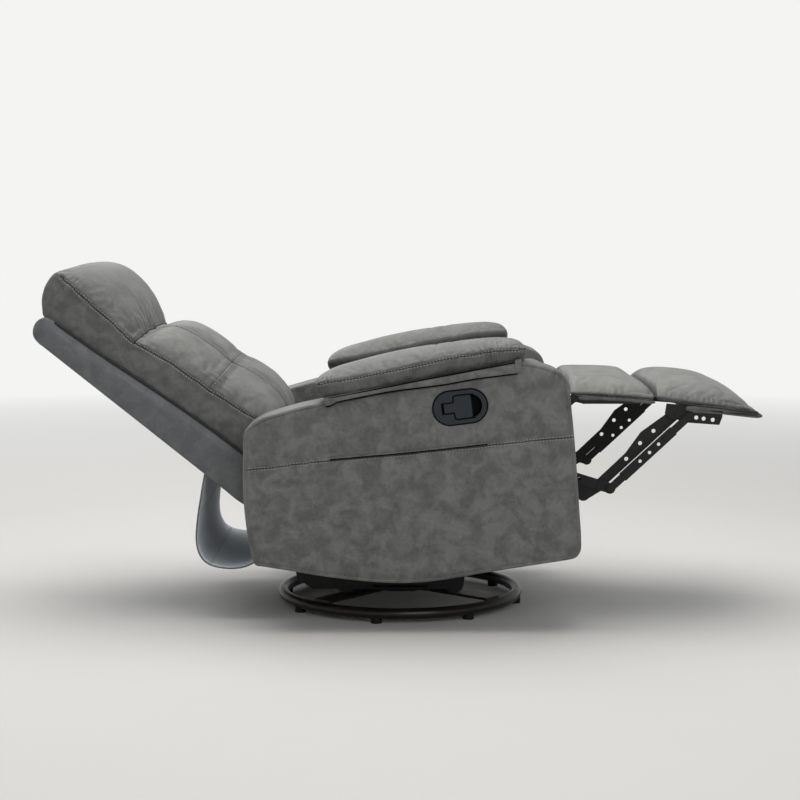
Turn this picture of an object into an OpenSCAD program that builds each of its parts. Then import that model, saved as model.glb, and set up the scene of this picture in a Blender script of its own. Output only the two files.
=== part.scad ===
// Swivel glider recliner with a latch handle, fully reclined with its footrest out.
// +X is the front of the chair and +Z is up. The origin is on the floor, on the swivel axis.
// Outlines that end in shares are parts of the box that holds them. Every length is in millimetres.

/* [Floor ring] */
// Outer diameter of the floor ring
ring_d = 560; // [520:5:600]
// Diameter of the ring's tube
ring_tube_d = 25; // [20:1:28]
// Height of the floor pads under the ring
pad_h = 8; // [6:1:10]
// Number of floor pads
pad_count = 8; // [6:1:10]
// Width of the flat cross arms
cross_w = 45; // [30:1:60]
// Thickness of the flat cross arms
cross_t = 6; // [4:0.5:7]
// Turn of the cross arms from the chair's front
cross_turn = -40; // [-45:1:45]
// Diameter of the swivel bearing
bearing_d = 210; // [180:5:240]

/* [Glider] */
// Length of the swing links, pivot to pivot
swing_l = 120; // [112:1:126]
// Distance from the front swing links to the rear ones
swing_span = 240; // [220:5:260]
// Height of the swing links' lower pivots
swing_z = 66; // [64:1:72]
// Width over the two ears that the glider hangs from
ear_span = 288; // [270:2:292]
// Length of the glider's side plates
glider_l = 378; // [360:2:384]

/* [Arms] */
// Length of an arm
arm_l = 709; // [690:1:730]
// Height of an arm's panel
arm_h = 466; // [450:1:480]
// Height of the arm panel's lowest point
arm_z = 109; // [100:1:118]
// Thickness of an arm
arm_t = 117; // [100:1:140]
// Clear width between the arms
between_arms = 516; // [510:1:540]
// Wall of the arm panels
arm_wall = 12; // [9:0.5:16]
// Length of the padded arm tops
arm_pad_l = 442; // [420:1:450]
// Width of the padded arm tops
arm_pad_w = 130; // [118:1:140]
// Thickness of the padded arm tops
arm_pad_h = 66; // [55:1:72]

/* [Handle] */
// Length of the handle's bezel
bezel_l = 112; // [100:1:124]
// Height of the handle's bezel
bezel_h = 69; // [60:1:74]
// Depth of the cup behind the bezel
cup_depth = 27; // [20:1:34]
// Height of the paddle's grip
grip_h = 47; // [42:1:50]

/* [Mechanism] */
// Thickness of the steel plates and links
plate_t = 3; // [2.5:0.5:3]
// Distance from one layer of plates to the next
layer_pitch = 5; // [5:0.5:6]
// Diameter of the rivets' shanks
rivet_d = 8; // [6:0.5:9]
// Diameter of the rivets' heads
rivet_head_d = 15; // [12:0.5:16]
// Length of the links that carry the seat
carrier_l = 110; // [106:1:114]
// Forward lean of those links when the chair is reclined
carrier_lean = 27; // [24:1:29]
// Side of the square cross tubes
tube_s = 25; // [20:1:26]

/* [Seat] */
// Slope of the seat, down to the rear
seat_slope = 7; // [5:0.5:8]
// Depth of the seat frame
seat_frame_l = 480; // [460:5:485]
// Height of the seat frame's rails
rail_h = 28; // [22:1:30]
// Width of the seat frame's rails
rail_w = 30; // [22:1:36]
// Number of sinuous springs
spring_count = 5; // [3:1:6]
// Width of the seat cushion
seat_pad_w = 484; // [470:1:485]

/* [Back] */
// Lean of the back from upright when it is reclined
back_lean = 51.3; // [49:0.1:53]
// Length of the back's outer shell
shell_l = 590; // [570:1:600]
// Thickness of the outer shell
shell_t = 65; // [58:1:66]
// Width of the back
back_w = 500; // [494:1:506]
// Wall of the outer shell
shell_wall = 6; // [5:0.5:7]

/* [Footrest] */
// Width of the leg pad and the foot pad
foot_w = 500; // [480:1:506]
// Length of the leg pad from its hinge side
leg_pad_l = 165; // [155:1:166]
// Length of the foot pad
foot_pad_l = 268; // [255:1:272]
// Thickness of the boards under the pads
board_t = 10; // [8:0.5:12]
// Tilt of the foot pad, toe down
foot_tilt = 5.4; // [4:0.2:7]

/* [Rear flap] */
// Thickness of the flap that closes the back of the seat
flap_t = 4; // [3:0.5:4.5]
// Width of the flap
flap_w = 486; // [460:1:500]

/* [Hidden] */
$fn = 48;
hull_fn = 32;
over = 1;           // how far a cut runs past a face
seat_gap = 0.3;     // gap under a part that rests on another
fit = 0.05;         // radial clearance of pins and rivets
half = 0.5;

// Heights of the base, from the floor up
ring_r = (ring_d - ring_tube_d) / 2;
ring_z = pad_h + ring_tube_d / 2;
cross_z = pad_h + ring_tube_d + fit;
race_z = cross_z + cross_t;
race_t = 4;
pad_r = 12;
pad_turn = 34;
hub_r = 20;
cap_r = 27;
cap_t = 4;
race_track = 1.4;   // rise of the race's track

// The glider: ears on the swivel plate, swing links, and side plates that hang on them
ear_t = 4;
ear_r = 15;
ear_foot_w = 60;
ear_y = ear_span / 2 - ear_t;
side_gap = 2;       // clear width beside a swing link
swing_y = ear_span / 2 + side_gap;
side_y = swing_y + plate_t + side_gap;
swing_link_r = 14;
swing_x = swing_span / 2;
swing_top = swing_z + swing_l;
swivel_z = race_z + race_t + seat_gap + race_t + race_track;
swivel_t = 4;
ear_foot = swivel_z + swivel_t + fit;
lobe_r = 22;
lobe_lift = 4;      // how far the lobes reach below the plate's lower edge
tube_gap = 2;
tube_wall = 2;
rail_rim = 2;       // extra metal round the mechanism rail's pivots
rail_cap = 4;       // how far the mechanism rail stands above the cross tubes
rail_window_pitch = 50;
tube_z = swing_top + ear_r + tube_gap;
flange_w = 32;
glider_x = -232;
front_tube_x = 0;
rear_tube_x = -228;

// Layers of the recliner's plates, from the arm inwards, on one side
arm_y = between_arms / 2;
rail_y = arm_y - seat_gap - plate_t;
carrier_y = rail_y - layer_pitch;
seat_plate_y = carrier_y - layer_pitch;
link1_y = seat_plate_y - layer_pitch;
link2_y = link1_y - layer_pitch;
link3_y = link2_y - layer_pitch;
rivet_r = rivet_d / 2;
rivet_head_r = rivet_head_d / 2;
head_t = layer_pitch - plate_t - 2 * seat_gap;

shank_share = 0.93;   // width of a link between its round ends

// Pivots, as [x, z] at the reclined pose
carrier_span = 255;
carrier_front = [75, 150];
carrier_rear = carrier_front - [carrier_span, 0];
carrier_reach = carrier_l * [sin(carrier_lean), cos(carrier_lean)];
back_pivot = [-218, 345];
leg_pivot = [372, 486];
foot_pivot = [233, 360];
elbow_upper = foot_pivot + [199, -62];
elbow_lower = elbow_upper + [22, -6.85];
control_arm = [-35, -21];
elbow_tail = [-42, 4];
control_pivot = foot_pivot + control_arm;
control_elbow = elbow_upper + control_arm;
toe_reach = [168, 157];
toe_upper = elbow_upper + toe_reach;
toe_lower = elbow_lower + toe_reach;
boss_r = 14;
link_r = 12;
thin_link_r = 9;
drive_tube_d = 18;
drive_tube_wall = 1.5;
drive_share = 0.115; // how far along the main link the drive tube is welded
main_hole_share = 0.777;
small_hole_r = 3.8;

// The seat: its frame's front top edge, and the cushion's outline
seat_front = [305, 420];
seat_pad_l = 519;
seat_pad_h = 138;
seat_pad_rear = -450;
seat_crown = 8;
seat_window_pitch = 62;
seat_window_rise = 60;
seat_shares = [[0.885, 0], [0.94, 0.26], [0.98, 0.48], [0.995, 0.66], [0.965, 0.82], [0.873, 0.9],
    [0.75, 0.95], [0.613, 0.96], [0.312, 0.895], [0.1, 0.864], [0.023, 0.758], [0, 0.512], [0.004, 0.169],
    [0.04, 0], [0.343, 0], [0.611, 0]];
spring_wire = 3.5;
spring_pitch = 36;
spring_amp = 19;
spring_drop = 5;

// The arms: outline from the rear bottom, in parts of arm_l and arm_h
arm_x = -328;
arm_shares = [[0.037, 0.079], [0.255, 0.026], [0.433, 0], [0.551, 0.006], [0.7, 0.043], [0.96, 0.106],
    [0.989, 0.124], [1, 0.161], [0.997, 0.242], [0.976, 0.65], [0.96, 0.873], [0.949, 0.925],
    [0.931, 0.955], [0.887, 0.981], [0.85, 0.993], [0.814, 1], [0.169, 0.798], [0.058, 0.749],
    [0.022, 0.717], [0.005, 0.69], [0, 0.65], [0, 0.393], [0.014, 0.19], [0.024, 0.11]];
arm_round = 16;
arm_panel_t = 10;
arm_lip = 4;         // how far the arm's inner edge turns in, and over what width
arm_lip_w = 5;
arm_top_rear = [arm_x + 0.169 * arm_l, arm_z + 0.798 * arm_h];
arm_top_front = [arm_x + 0.814 * arm_l, arm_z + arm_h];
arm_slope = atan2(arm_top_front[1] - arm_top_rear[1], arm_top_front[0] - arm_top_rear[0]);
arm_pad_in = 2;      // how far the arm pads reach past the arms' inner faces
arm_pad_start = 24;
arm_pad_shares = [[-0.5, 0.36], [-0.47, 0.06], [-0.3, 0], [0, 0], [0.3, 0], [0.47, 0.06],
    [0.5, 0.36], [0.46, 0.7], [0.3, 0.93], [0, 1], [-0.3, 0.93], [-0.46, 0.7]];
strip_t = 4;
strip_shares = [[0, 0], [0, -0.45], [1, -1], [1, 0]];
strip_drop = 20;

// The handle's cup, on the near arm
handle_at = [125, 481];
handle_tilt = 7;
bezel_t = 4;
cup_wall = 2;
bezel_lip = 6;
paddle_t = 6;
paddle_gap = 1.6;
paddle_pin_r = 2.4;
paddle_pin_x = -30;
paddle_pin_y = 3;
pin_back = 3;
lug_w = 8;
lug_t = 4;
stem_h = 19;
stem_l = 24;
grip_x = -12;
grip_l = 36;
grip_round = 5;

// The back, in its own frame: x through its thickness and z up its length
back_at = [-339, 273];
shell_n = -9;
shell_shares = [[0, 0.012], [0.2, 0], [1, 0.02], [1, 0.925], [0.93, 0.95], [0.79, 0.975], [0.56, 0.995],
    [0.38, 1], [0.2, 0.988], [0.06, 0.965], [0, 0.935]];
shell_round = 7;
shell_top_solid = 50;
post_w = 32;
post_start = 26;
post_short = 40;
frame_rail_start = 30;
frame_rail_top = 60;
frame_rail_h = 44;
post_t = shell_t - shell_wall - seat_gap;
cushion_n = shell_n + shell_t + seat_gap;
head_l = 262;
head_t_full = 152;
head_shares = [[0.14, 0.0], [0.5, 0], [0.78, 0], [0.87, 0.1], [0.98, 0.24], [1, 0.42], [0.93, 0.62],
    [0.78, 0.84],
    [0.58, 0.97], [0.36, 0.97], [0.17, 0.84], [0.045, 0.68], [0.03, 0.52], [0.06, 0.28], [0.09, 0.1]];
lumbar_l = 384;
lumbar_t = 152;
lumbar_at = [12, cushion_n];
lumbar_crown = 18;
channel_depth = 9;
channel_spread = 16;
head_lap = 18;       // how far the headrest laps over the lumbar cushion
head_at = [lumbar_at[0] + lumbar_l - head_lap, cushion_n];
head_crown = 6;
lumbar_shares = [[0.06, 0.0], [0.35, 0], [0.7, 0], [0.93, 0], [0.975, 0.1], [0.97, 0.4], [0.965, 0.66],
    [0.93, 0.84], [0.85, 0.95], [0.7, 0.99], [0.5, 0.93], [0.4, 0.96], [0.28, 1], [0.14, 0.98],
    [0.045, 0.9], [0.005, 0.7], [0, 0.4], [0.02, 0.14]];
bracket_r = 12;
bracket_knee = [25, 20];
bracket_top = [22, 210];

// The pads of the footrest, from their hinge sides
foot_crown = 3;
leg_at = [384, 490];
board_margin = 6;    // how far the pads reach past the boards at the free ends
leg_pad_h = 42;
leg_shares = [[0, 0.5], [0, 0.12], [0.06, 0.005], [0.5, 0], [0.9, 0], [0.955, 0.02], [0.9, 0.36],
    [0.78, 0.74],
    [0.64, 0.92], [0.4, 1], [0.15, 0.99], [0.02, 0.86]];
leg_board_l = leg_pad_l - board_margin;
foot_at = [512, 481.6];
foot_pad_h = 54;
foot_shares = [[0.165, 0.0], [0.5, 0], [0.8, 0], [0.95, 0.01], [0.99, 0.04], [1, 0.1], [0.965, 0.2],
    [0.89, 0.36],
    [0.756, 0.66], [0.65, 0.83], [0.544, 0.93], [0.45, 0.98], [0.337, 1], [0.2, 0.97], [0.1, 0.88],
    [0.052, 0.76], [0.045, 0.66], [0.067, 0.52], [0.112, 0.36], [0.15, 0.1]];
foot_board_start = 106;
foot_board_l = foot_pad_l - foot_board_start - board_margin;
foot_bracket_shares = [[0.01, 1], [0.99, 1], [1, 0.51], [0.96, 0.04], [0.4, 0], [0.28, 0.1], [0.1, 0.14],
    [0, 0.39]];
foot_bracket_start = 61;
foot_bracket_l = 124;
foot_bracket_h = 37;
foot_bracket_hole_shares = [[0.55, 0.34], [0.68, 0.32], [0.84, 0.3]];

// The rear flap: [x, z] of its folds at the reclined pose
flap_bead_u = 96;
flap_bead_r = 2.2;
flap_fold = [-441, 160];
flap_sole = [-366, 108];
flap_end = [-248, 178];
flap_joint_gap = 0.35;
rear_rail_x = -238;
rear_rail_z = 158;
rear_rail_t = 20;
rear_rail_h = 40;

// Shapes and placing
function sized(shares, w, h) = [for (s = shares) [s[0] * w, s[1] * h]];
function power(v, e) = sign(v) * pow(abs(v), e);
function curve_point(p, i, t) = let (
    n = len(p), a = p[(i + n - 1) % n], b = p[i], c = p[(i + 1) % n], d = p[(i + 2) % n])
    half * (2 * b + (c - a) * t + (2 * a - 5 * b + 4 * c - d) * t * t
        + (3 * b - a - 3 * c + d) * t * t * t);
function smooth_loop(p, steps) = [for (i = [0:len(p) - 1], j = [0:steps - 1])
    let (q = curve_point(p, i, j / steps)) [q[0], max(0, q[1])]];
function middle(p) = [for (k = [0, 1]) (min([for (q = p) q[k]]) + max([for (q = p) q[k]])) / 2];
function from_back(n, u) = back_at + u * [-sin(back_lean), cos(back_lean)]
    + n * [cos(back_lean), sin(back_lean)];

module pair() {
    children();
    mirror([0, 1, 0]) children();
}
module plate(y, t) translate([0, y + t, 0]) rotate([90, 0, 0]) linear_extrude(t) children();
module bar(p, q, r) {
    w = shank_share * r;
    translate(p) circle(r);
    translate(q) circle(r);
    translate(p) rotate(atan2(q[1] - p[1], q[0] - p[0])) translate([0, -w]) square([norm(q - p), 2 * w]);
}
module hole(p) translate(p) circle(rivet_r + fit);
module rod(p, y0, y1, r) translate([p[0], y0, p[1]]) rotate([-90, 0, 0]) cylinder(h = y1 - y0, r = r);
module rivet(p, y0, y1, flush = false) {
    rod(p, y0 - seat_gap - head_t, y0 - seat_gap, rivet_head_r);
    rod(p, y0 - seat_gap - head_t, flush ? y1 : y1 + seat_gap, rivet_r);
    if (!flush) rod(p, y1 + seat_gap, y1 + seat_gap + head_t, rivet_head_r);
}
module on_back() translate([back_at[0], 0, back_at[1]]) rotate([0, -back_lean, 0]) children();
module on_seat() translate([seat_front[0], 0, seat_front[1]]) rotate([0, -seat_slope, 0]) children();
module on_arm() translate([arm_top_rear[0], 0, arm_top_rear[1]]) rotate([0, -arm_slope, 0]) children();
module at_handle() translate([handle_at[0], 0, handle_at[1]]) rotate([0, -handle_tilt, 0]) children();

// A stuffed form: a closed outline swept across its width, with softly rounded ends, a crown on
// the outline's upper side, sides that draw in between the corners, and sewn channels.
// Each channel is [place along the outline, depth, spread]. The order of the axes is [x, y, z]
// for a lying pad, and is turned for one that stands up ("up") or runs along x ("along").
function channel(list, a, t) = len(list) == 0 ? 0 :
    [for (c = list) c[1] * exp(-pow((a - c[0]) / c[2], 2)) * (1 - half * t * t)] * [for (c = list) 1];
function stuffed_points(line, half_w, rings, edge, crown, waist, channels, way) = let (
    c = middle(line), a0 = min([for (p = line) p[0]]), a1 = max([for (p = line) p[0]]),
    top = max([for (p = line) p[1]]))
    [for (j = [0:rings - 1]) let (
        g = 180 * j / (rings - 1) - 90, t = power(sin(g), 0.45),
        s = 1 - edge * (1 - pow(abs(cos(g)), 0.45)))
        for (p = line) let (
            q = c + s * (p - c), up = max(0, (p[1] - c[1]) / (top - c[1])),
            along = 2 * (p[0] - a0) / (a1 - a0) - 1,
            b = q[1] + up * (crown * (1 - t * t) - channel(channels, q[0], t)),
            y = half_w * t * (1 - waist * (1 - along * along)))
            way == "up" ? [b, y, q[0]] : way == "along" ? [y, q[0], b] : [q[0], y, b]];
function cap_middle(points, n, first) =
    [for (k = [0:n - 1]) 1 / n] * [for (k = [0:n - 1]) points[first + k]];
module stuffed(line, half_w, rings, edge = 0.3, crown = 0, waist = 0.02, channels = [], way = "lying") {
    n = len(line);
    points = stuffed_points(line, half_w, rings, edge, crown, waist, channels, way);
    last = n * (rings - 1);
    ends = [cap_middle(points, n, 0), cap_middle(points, n, last)];
    sides = [for (j = [0:rings - 2], i = [0:n - 1]) let (a = j * n + i, b = j * n + (i + 1) % n)
        each [[a, b, b + n], [a, b + n, a + n]]];
    caps = [for (i = [0:n - 1]) let (b = (i + 1) % n)
        each [[n * rings, b, i], [n * rings + 1, last + i, last + b]]];
    turn = way == "lying" ? 1 : 0;
    faces = [for (f = concat(sides, caps)) turn == 1 ? f : [f[2], f[1], f[0]]];
    polyhedron(points = concat(points, ends), faces = faces);
}

// The floor ring and its swivel
module base_ring() color("#2b2523")
    translate([0, 0, ring_z]) rotate_extrude($fn = 96) translate([ring_r, 0]) circle(d = ring_tube_d);

module base_cross_arms() color("#2b2523") difference() {
    union() {
        for (a = [0, 90]) rotate(a + cross_turn)
            translate([-ring_r, -cross_w / 2, cross_z]) cube([2 * ring_r, cross_w, cross_t]);
        translate([0, 0, cross_z]) cylinder(h = cross_t, d = bearing_d * 0.8);
    }
    for (a = [45:90:315]) rotate(a + cross_turn)
        translate([bearing_d * 0.3, 0, cross_z - over]) cylinder(h = cross_t + 2 * over, r = rivet_r + fit);
}

module floor_pads() color("#161616") difference() {
    for (i = [0:pad_count - 1]) rotate(pad_turn + 360 * i / pad_count)
        translate([ring_r, 0, 0]) cylinder(h = ring_z - ring_tube_d / 4, r = pad_r);
    translate([0, 0, ring_z]) rotate_extrude($fn = 96)
        translate([ring_r, 0]) circle(d = ring_tube_d + 2 * fit);
}

module bearing_lower_race() color("#3a3836") {
    translate([0, 0, race_z]) cylinder(h = race_t, d = bearing_d);
    translate([0, 0, race_z]) cylinder(h = swivel_z + swivel_t + seat_gap - race_z, r = hub_r);
    translate([0, 0, swivel_z + swivel_t + seat_gap]) cylinder(h = cap_t, r = cap_r);
}

module bearing_upper_race() color("#3a3836") difference() {
    translate([0, 0, race_z + race_t + seat_gap]) union() {
        cylinder(h = race_t, d = bearing_d);
        cylinder(h = race_t + race_track, d = bearing_d * 0.86);
    }
    translate([0, 0, race_z]) cylinder(h = 4 * race_t, r = hub_r + fit);
}

module swivel_plate() color("#1d1c1c") difference() {
    translate([-swing_x - ear_r, -ear_y, swivel_z]) cube([swing_span + 2 * ear_r, 2 * ear_y, swivel_t]);
    translate([0, 0, swivel_z - over]) cylinder(h = swivel_t + 2 * over, r = hub_r + fit);
    for (x = [-1, 1], y = [-1, 1]) translate([x * swing_x * 0.72, y * ear_y * 0.55, swivel_z - over])
        cylinder(h = swivel_t + 2 * over, r = ear_r);
}

module glider_ears() color("#1d1c1c") pair() plate(ear_y, ear_t) for (x = [-1, 1]) difference() {
    union() {
        translate([x * swing_x, swing_top]) circle(ear_r);
        polygon([[x * (swing_x + ear_r), ear_foot], [x * (swing_x + ear_r), swing_top],
            [x * (swing_x - ear_r), swing_top], [x * (swing_x - ear_foot_w), ear_foot]]);
    }
    hole([x * swing_x, swing_top]);
    translate([x * (swing_x - ear_r * 0.6), ear_foot + ear_foot_w]) circle(ear_r * 0.8);
}

module swivel_rivets() color("#8d8b88") pair() for (x = [-swing_x, swing_x]) {
    rod([x, swing_top], ear_y - seat_gap - head_t, ear_y - seat_gap, rivet_head_r);
    rod([x, swing_top], ear_y - seat_gap - head_t, swing_y + plate_t + seat_gap, rivet_r);
    rod([x, swing_top], swing_y + plate_t + seat_gap, side_y - seat_gap, rivet_head_r);
}

// The swing links and the chassis that hangs on them
module swing_links(x) color("#2a2928") pair() plate(swing_y, plate_t) difference() {
    bar([x, swing_z], [x, swing_top], swing_link_r);
    hole([x, swing_z]);
    hole([x, swing_top]);
}
module swing_links_front() swing_links(swing_x);
module swing_links_rear() swing_links(-swing_x);

glider_shares = [[0, 1], [0, 0.29], [0.016, 0.13], [0.05, 0.115], [0.095, 0.03], [0.36, 0.03], [0.42, 0.09],
    [0.78, 0.09], [0.84, 0.03], [0.95, 0.03], [0.99, 0.14], [1, 0.3], [1, 1]];
window_w = 92;
window_h = 70;
window_r = 12;
window_rise = 34;
window_places_share = 0.45;
module bar_box(w, h, r) {
    translate([0, -r]) square([w, h + 2 * r]);
    translate([-r, 0]) square([w + 2 * r, h]);
    for (x = [0, w], z = [0, h]) translate([x, z]) circle(r);
}
module glider_plate() {
    low = swing_z - lobe_r + lobe_lift;
    plate(side_y, plate_t) difference() {
        union() {
            translate([glider_x, low]) polygon(sized(glider_shares, glider_l, tube_z - low));
            for (x = [-swing_x, swing_x]) translate([x, swing_z]) circle(lobe_r);
        }
        for (x = [-swing_x, swing_x]) hole([x, swing_z]);
        for (x = [-1, 1])
            translate([x * window_places_share * swing_x - window_w / 2 + window_r, swing_z + window_rise])
                bar_box(window_w - 2 * window_r, window_h - 2 * window_r, window_r);
        translate([rear_rail_x - seat_gap, rear_rail_z - seat_gap])
            square([rear_rail_t + 2 * seat_gap, rear_rail_h + 2 * seat_gap]);
    }
    translate([rear_tube_x - tube_s / 2, side_y, tube_z - plate_t])
        cube([glider_x + glider_l - rear_tube_x + tube_s / 2, flange_w, plate_t]);
}
module glider_plate_left() color("#232121") glider_plate();
module glider_plate_right() color("#232121") mirror([0, 1, 0]) glider_plate();

module chassis_tubes() color("#232121") for (x = [front_tube_x, rear_tube_x]) difference() {
    translate([x - tube_s / 2, -rail_y, tube_z]) cube([tube_s, 2 * rail_y, tube_s]);
    translate([x - tube_s / 2 + tube_wall, -rail_y - over, tube_z + tube_wall])
        cube([tube_s - 2 * tube_wall, 2 * rail_y + 2 * over, tube_s - 2 * tube_wall]);
}

module chassis_rivets() color("#8d8b88") pair() {
    for (p = [carrier_front, carrier_rear]) rivet(p, carrier_y, rail_y + plate_t, true);
    for (x = [-swing_x, swing_x]) {
        rod([x, swing_z], swing_y - side_gap + seat_gap, swing_y - seat_gap, rivet_head_r);
        rod([x, swing_z], swing_y - seat_gap, side_y + plate_t + seat_gap, rivet_r);
        rod([x, swing_z], side_y + plate_t + seat_gap, side_y + plate_t + seat_gap + head_t, rivet_head_r);
    }
}

module mechanism_rail() plate(rail_y, plate_t) difference() {
    low = carrier_front[1] - boss_r - rail_rim;
    top = tube_z + tube_s + rail_cap;
    union() {
        polygon([[rear_tube_x - tube_s * 0.6, low + boss_r], [rear_tube_x - tube_s * 0.6, top],
            [front_tube_x + tube_s * 0.8, top], carrier_front + [boss_r + rail_rim, boss_r],
            carrier_front + [boss_r + rail_rim, 0], [carrier_front[0], low],
            [carrier_rear[0] - boss_r, low]]);
        translate(carrier_front) circle(boss_r + rail_rim);
    }
    for (p = [carrier_front, carrier_rear]) hole(p);
    for (k = [0:3])
        translate([carrier_rear[0] + (k + half) * rail_window_pitch, carrier_front[1] + boss_r])
            circle(boss_r);
}
module mechanism_rail_left() color("#232121") mechanism_rail();
module mechanism_rail_right() color("#232121") mirror([0, 1, 0]) mechanism_rail();

module rear_rail() color("#b98f5c")
    translate([rear_rail_x, -rail_y + seat_gap, rear_rail_z])
        cube([rear_rail_t, 2 * (rail_y - seat_gap), rear_rail_h]);

// The arms
module arm_outline(inset = 0) offset(delta = -inset)
    translate([arm_x, arm_z]) polygon(sized(arm_shares, arm_l, arm_h));
module arm_slice(y, inset) plate(y, fit) arm_outline(inset);
module arm() difference() {
    hull() {
        arm_slice(arm_y, arm_lip);
        arm_slice(arm_y + arm_lip_w, 0);
        for (a = [0:30:90]) arm_slice(arm_y + arm_t - arm_round + arm_round * sin(a) - fit,
            arm_round * (1 - cos(a)) * 0.7);
    }
    plate(arm_y - over, arm_t - arm_wall + over) arm_outline(arm_wall + arm_lip);
}
module arm_left() color("#6b6c6d") arm();
module arm_right() color("#6b6c6d") difference() {
    mirror([0, 1, 0]) arm();
    at_handle() plate(-arm_y - arm_t - over, arm_wall + 2 * over)
        bezel_outline(bezel_lip - fit - seat_gap);
}
module arm_inner_panels() color("#57585a") pair()
    plate(arm_y, arm_panel_t) arm_outline(arm_wall + arm_lip + seat_gap);

module arm_pad() on_arm()
    translate([arm_pad_start + arm_pad_l / 2, arm_y - arm_pad_in + arm_pad_w / 2, seat_gap])
        stuffed(smooth_loop(sized(arm_pad_shares, arm_pad_w, arm_pad_h), 2), arm_pad_l / 2, 15,
            edge = 0.28, waist = 0.004, way = "along");
module arm_pad_left() color("#77787a") arm_pad();
module arm_pad_right() color("#77787a") mirror([0, 1, 0]) arm_pad();

module arm_pad_strips() color("#6b6c6d") pair() on_arm() translate([arm_pad_start + 2 * strip_t, 0, 0])
    plate(arm_y + arm_t + seat_gap, strip_t)
        polygon(sized(strip_shares, arm_pad_l - 6 * strip_t, strip_drop));

// The latch handle, in the arm on the sitter's right. Its face has a slot for the stem and a
// round-ended opening for the grip, and fingers go in behind the grip's end.
module bezel_outline(inset = 0) {
    r = bezel_h / 2 - inset;
    translate([-(bezel_l - bezel_h) / 2, -r]) square([bezel_l - bezel_h, 2 * r]);
    for (x = [-1, 1]) translate([x * (bezel_l - bezel_h) / 2, 0]) circle(r);
}
module bezel_opening() {
    translate([paddle_pin_x - 2 * paddle_pin_r - pin_back, -stem_h / 2 - paddle_gap])
        square([stem_l + 3 * paddle_gap, stem_h + 2 * paddle_gap]);
    translate([grip_x - paddle_gap, -grip_h / 2 - paddle_gap])
        square([grip_l - paddle_gap, grip_h + 2 * paddle_gap]);
    translate([grip_x + grip_l - 2 * paddle_gap, 0]) circle(grip_h / 2 + paddle_gap);
}
module handle_bezel() color("#26282a") at_handle() translate([0, -arm_y - arm_t, 0]) {
    plate(-bezel_t, bezel_t - seat_gap) difference() {
        bezel_outline();
        bezel_opening();
    }
    difference() {
        plate(-bezel_t / 2, bezel_t / 2 + cup_depth) bezel_outline(bezel_lip);
        plate(-bezel_t, bezel_t + cup_depth - cup_wall) bezel_outline(bezel_lip + cup_wall);
    }
    for (z = [-1, 1]) difference() {
        translate([paddle_pin_x - lug_w / 2, -bezel_t / 2,
            z * (stem_h / 2 + paddle_gap + lug_t / 2) - lug_t / 2])
                cube([lug_w, lug_w + bezel_t / 2, lug_t]);
        translate([paddle_pin_x, paddle_pin_y, -bezel_h]) cylinder(h = 2 * bezel_h, r = paddle_pin_r + fit);
    }
}
module handle_paddle() color("#1c1e20") at_handle() translate([0, -arm_y - arm_t, 0]) {
    plate(paddle_pin_y - paddle_t, paddle_t) {
        translate([paddle_pin_x - 1.5 * paddle_pin_r, -stem_h / 2]) square([stem_l, stem_h]);
        translate([grip_x + grip_round, -grip_h / 2 + grip_round])
            bar_box(grip_l - 2 * grip_round, grip_h - 2 * grip_round, grip_round);
    }
    translate([paddle_pin_x, paddle_pin_y, -stem_h / 2]) cylinder(h = stem_h, r = 1.5 * paddle_pin_r);
    translate([paddle_pin_x, paddle_pin_y, -stem_h / 2 - lug_t])
        cylinder(h = stem_h + 2 * lug_t, r = paddle_pin_r);
}

// The links that carry the seat
module carrier_links(p) color("#2a2928") pair() plate(carrier_y, plate_t) difference() {
    bar(p, p + carrier_reach, boss_r);
    hole(p);
    hole(p + carrier_reach);
}
module carrier_links_front() carrier_links(carrier_front);
module carrier_links_rear() carrier_links(carrier_rear);

// The seat
module seat_plate() plate(seat_plate_y, plate_t) difference() {
    union() {
        bar(carrier_rear + carrier_reach, carrier_front + carrier_reach, boss_r + 1);
        bar(back_pivot, carrier_rear + carrier_reach, boss_r + 1);
        bar(carrier_front + carrier_reach, control_pivot, boss_r + 1);
        bar(control_pivot, foot_pivot, boss_r + 1);
        bar(foot_pivot, leg_pivot, thin_link_r);
        polygon([back_pivot, carrier_rear + carrier_reach, carrier_front + carrier_reach,
            control_pivot, foot_pivot, foot_pivot + [-boss_r, boss_r], back_pivot + [0, boss_r]]);
    }
    for (p = [back_pivot, carrier_rear + carrier_reach, carrier_front + carrier_reach, control_pivot,
        foot_pivot, leg_pivot]) hole(p);
    for (k = [0:3])
        translate(carrier_rear + carrier_reach + [(k + half) * seat_window_pitch, seat_window_rise])
            circle(boss_r * 1.4);
}
module seat_plate_left() color("#232121") seat_plate();
module seat_plate_right() color("#232121") mirror([0, 1, 0]) seat_plate();

module seat_rivets() color("#8d8b88") pair() {
    for (p = [carrier_front, carrier_rear]) rivet(p + carrier_reach, seat_plate_y, carrier_y + plate_t);
    for (p = [back_pivot, foot_pivot, leg_pivot]) rivet(p, link1_y, seat_plate_y + plate_t);
    rivet(control_pivot, link3_y, seat_plate_y + plate_t);
    rod(control_pivot, link3_y + plate_t + seat_gap, seat_plate_y - seat_gap, rivet_head_r);
}

seat_rail_y = seat_plate_y - seat_gap;
module seat_side_rails() color("#b98f5c") pair() on_seat()
    translate([-seat_frame_l, seat_rail_y - rail_w, -rail_h]) cube([seat_frame_l, rail_w, rail_h]);
module seat_cross_rails() color("#b98f5c") on_seat()
    for (x = [-rail_w, -seat_frame_l])
        translate([x, -seat_rail_y + rail_w, -rail_h]) cube([rail_w, 2 * (seat_rail_y - rail_w), rail_h]);

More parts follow.
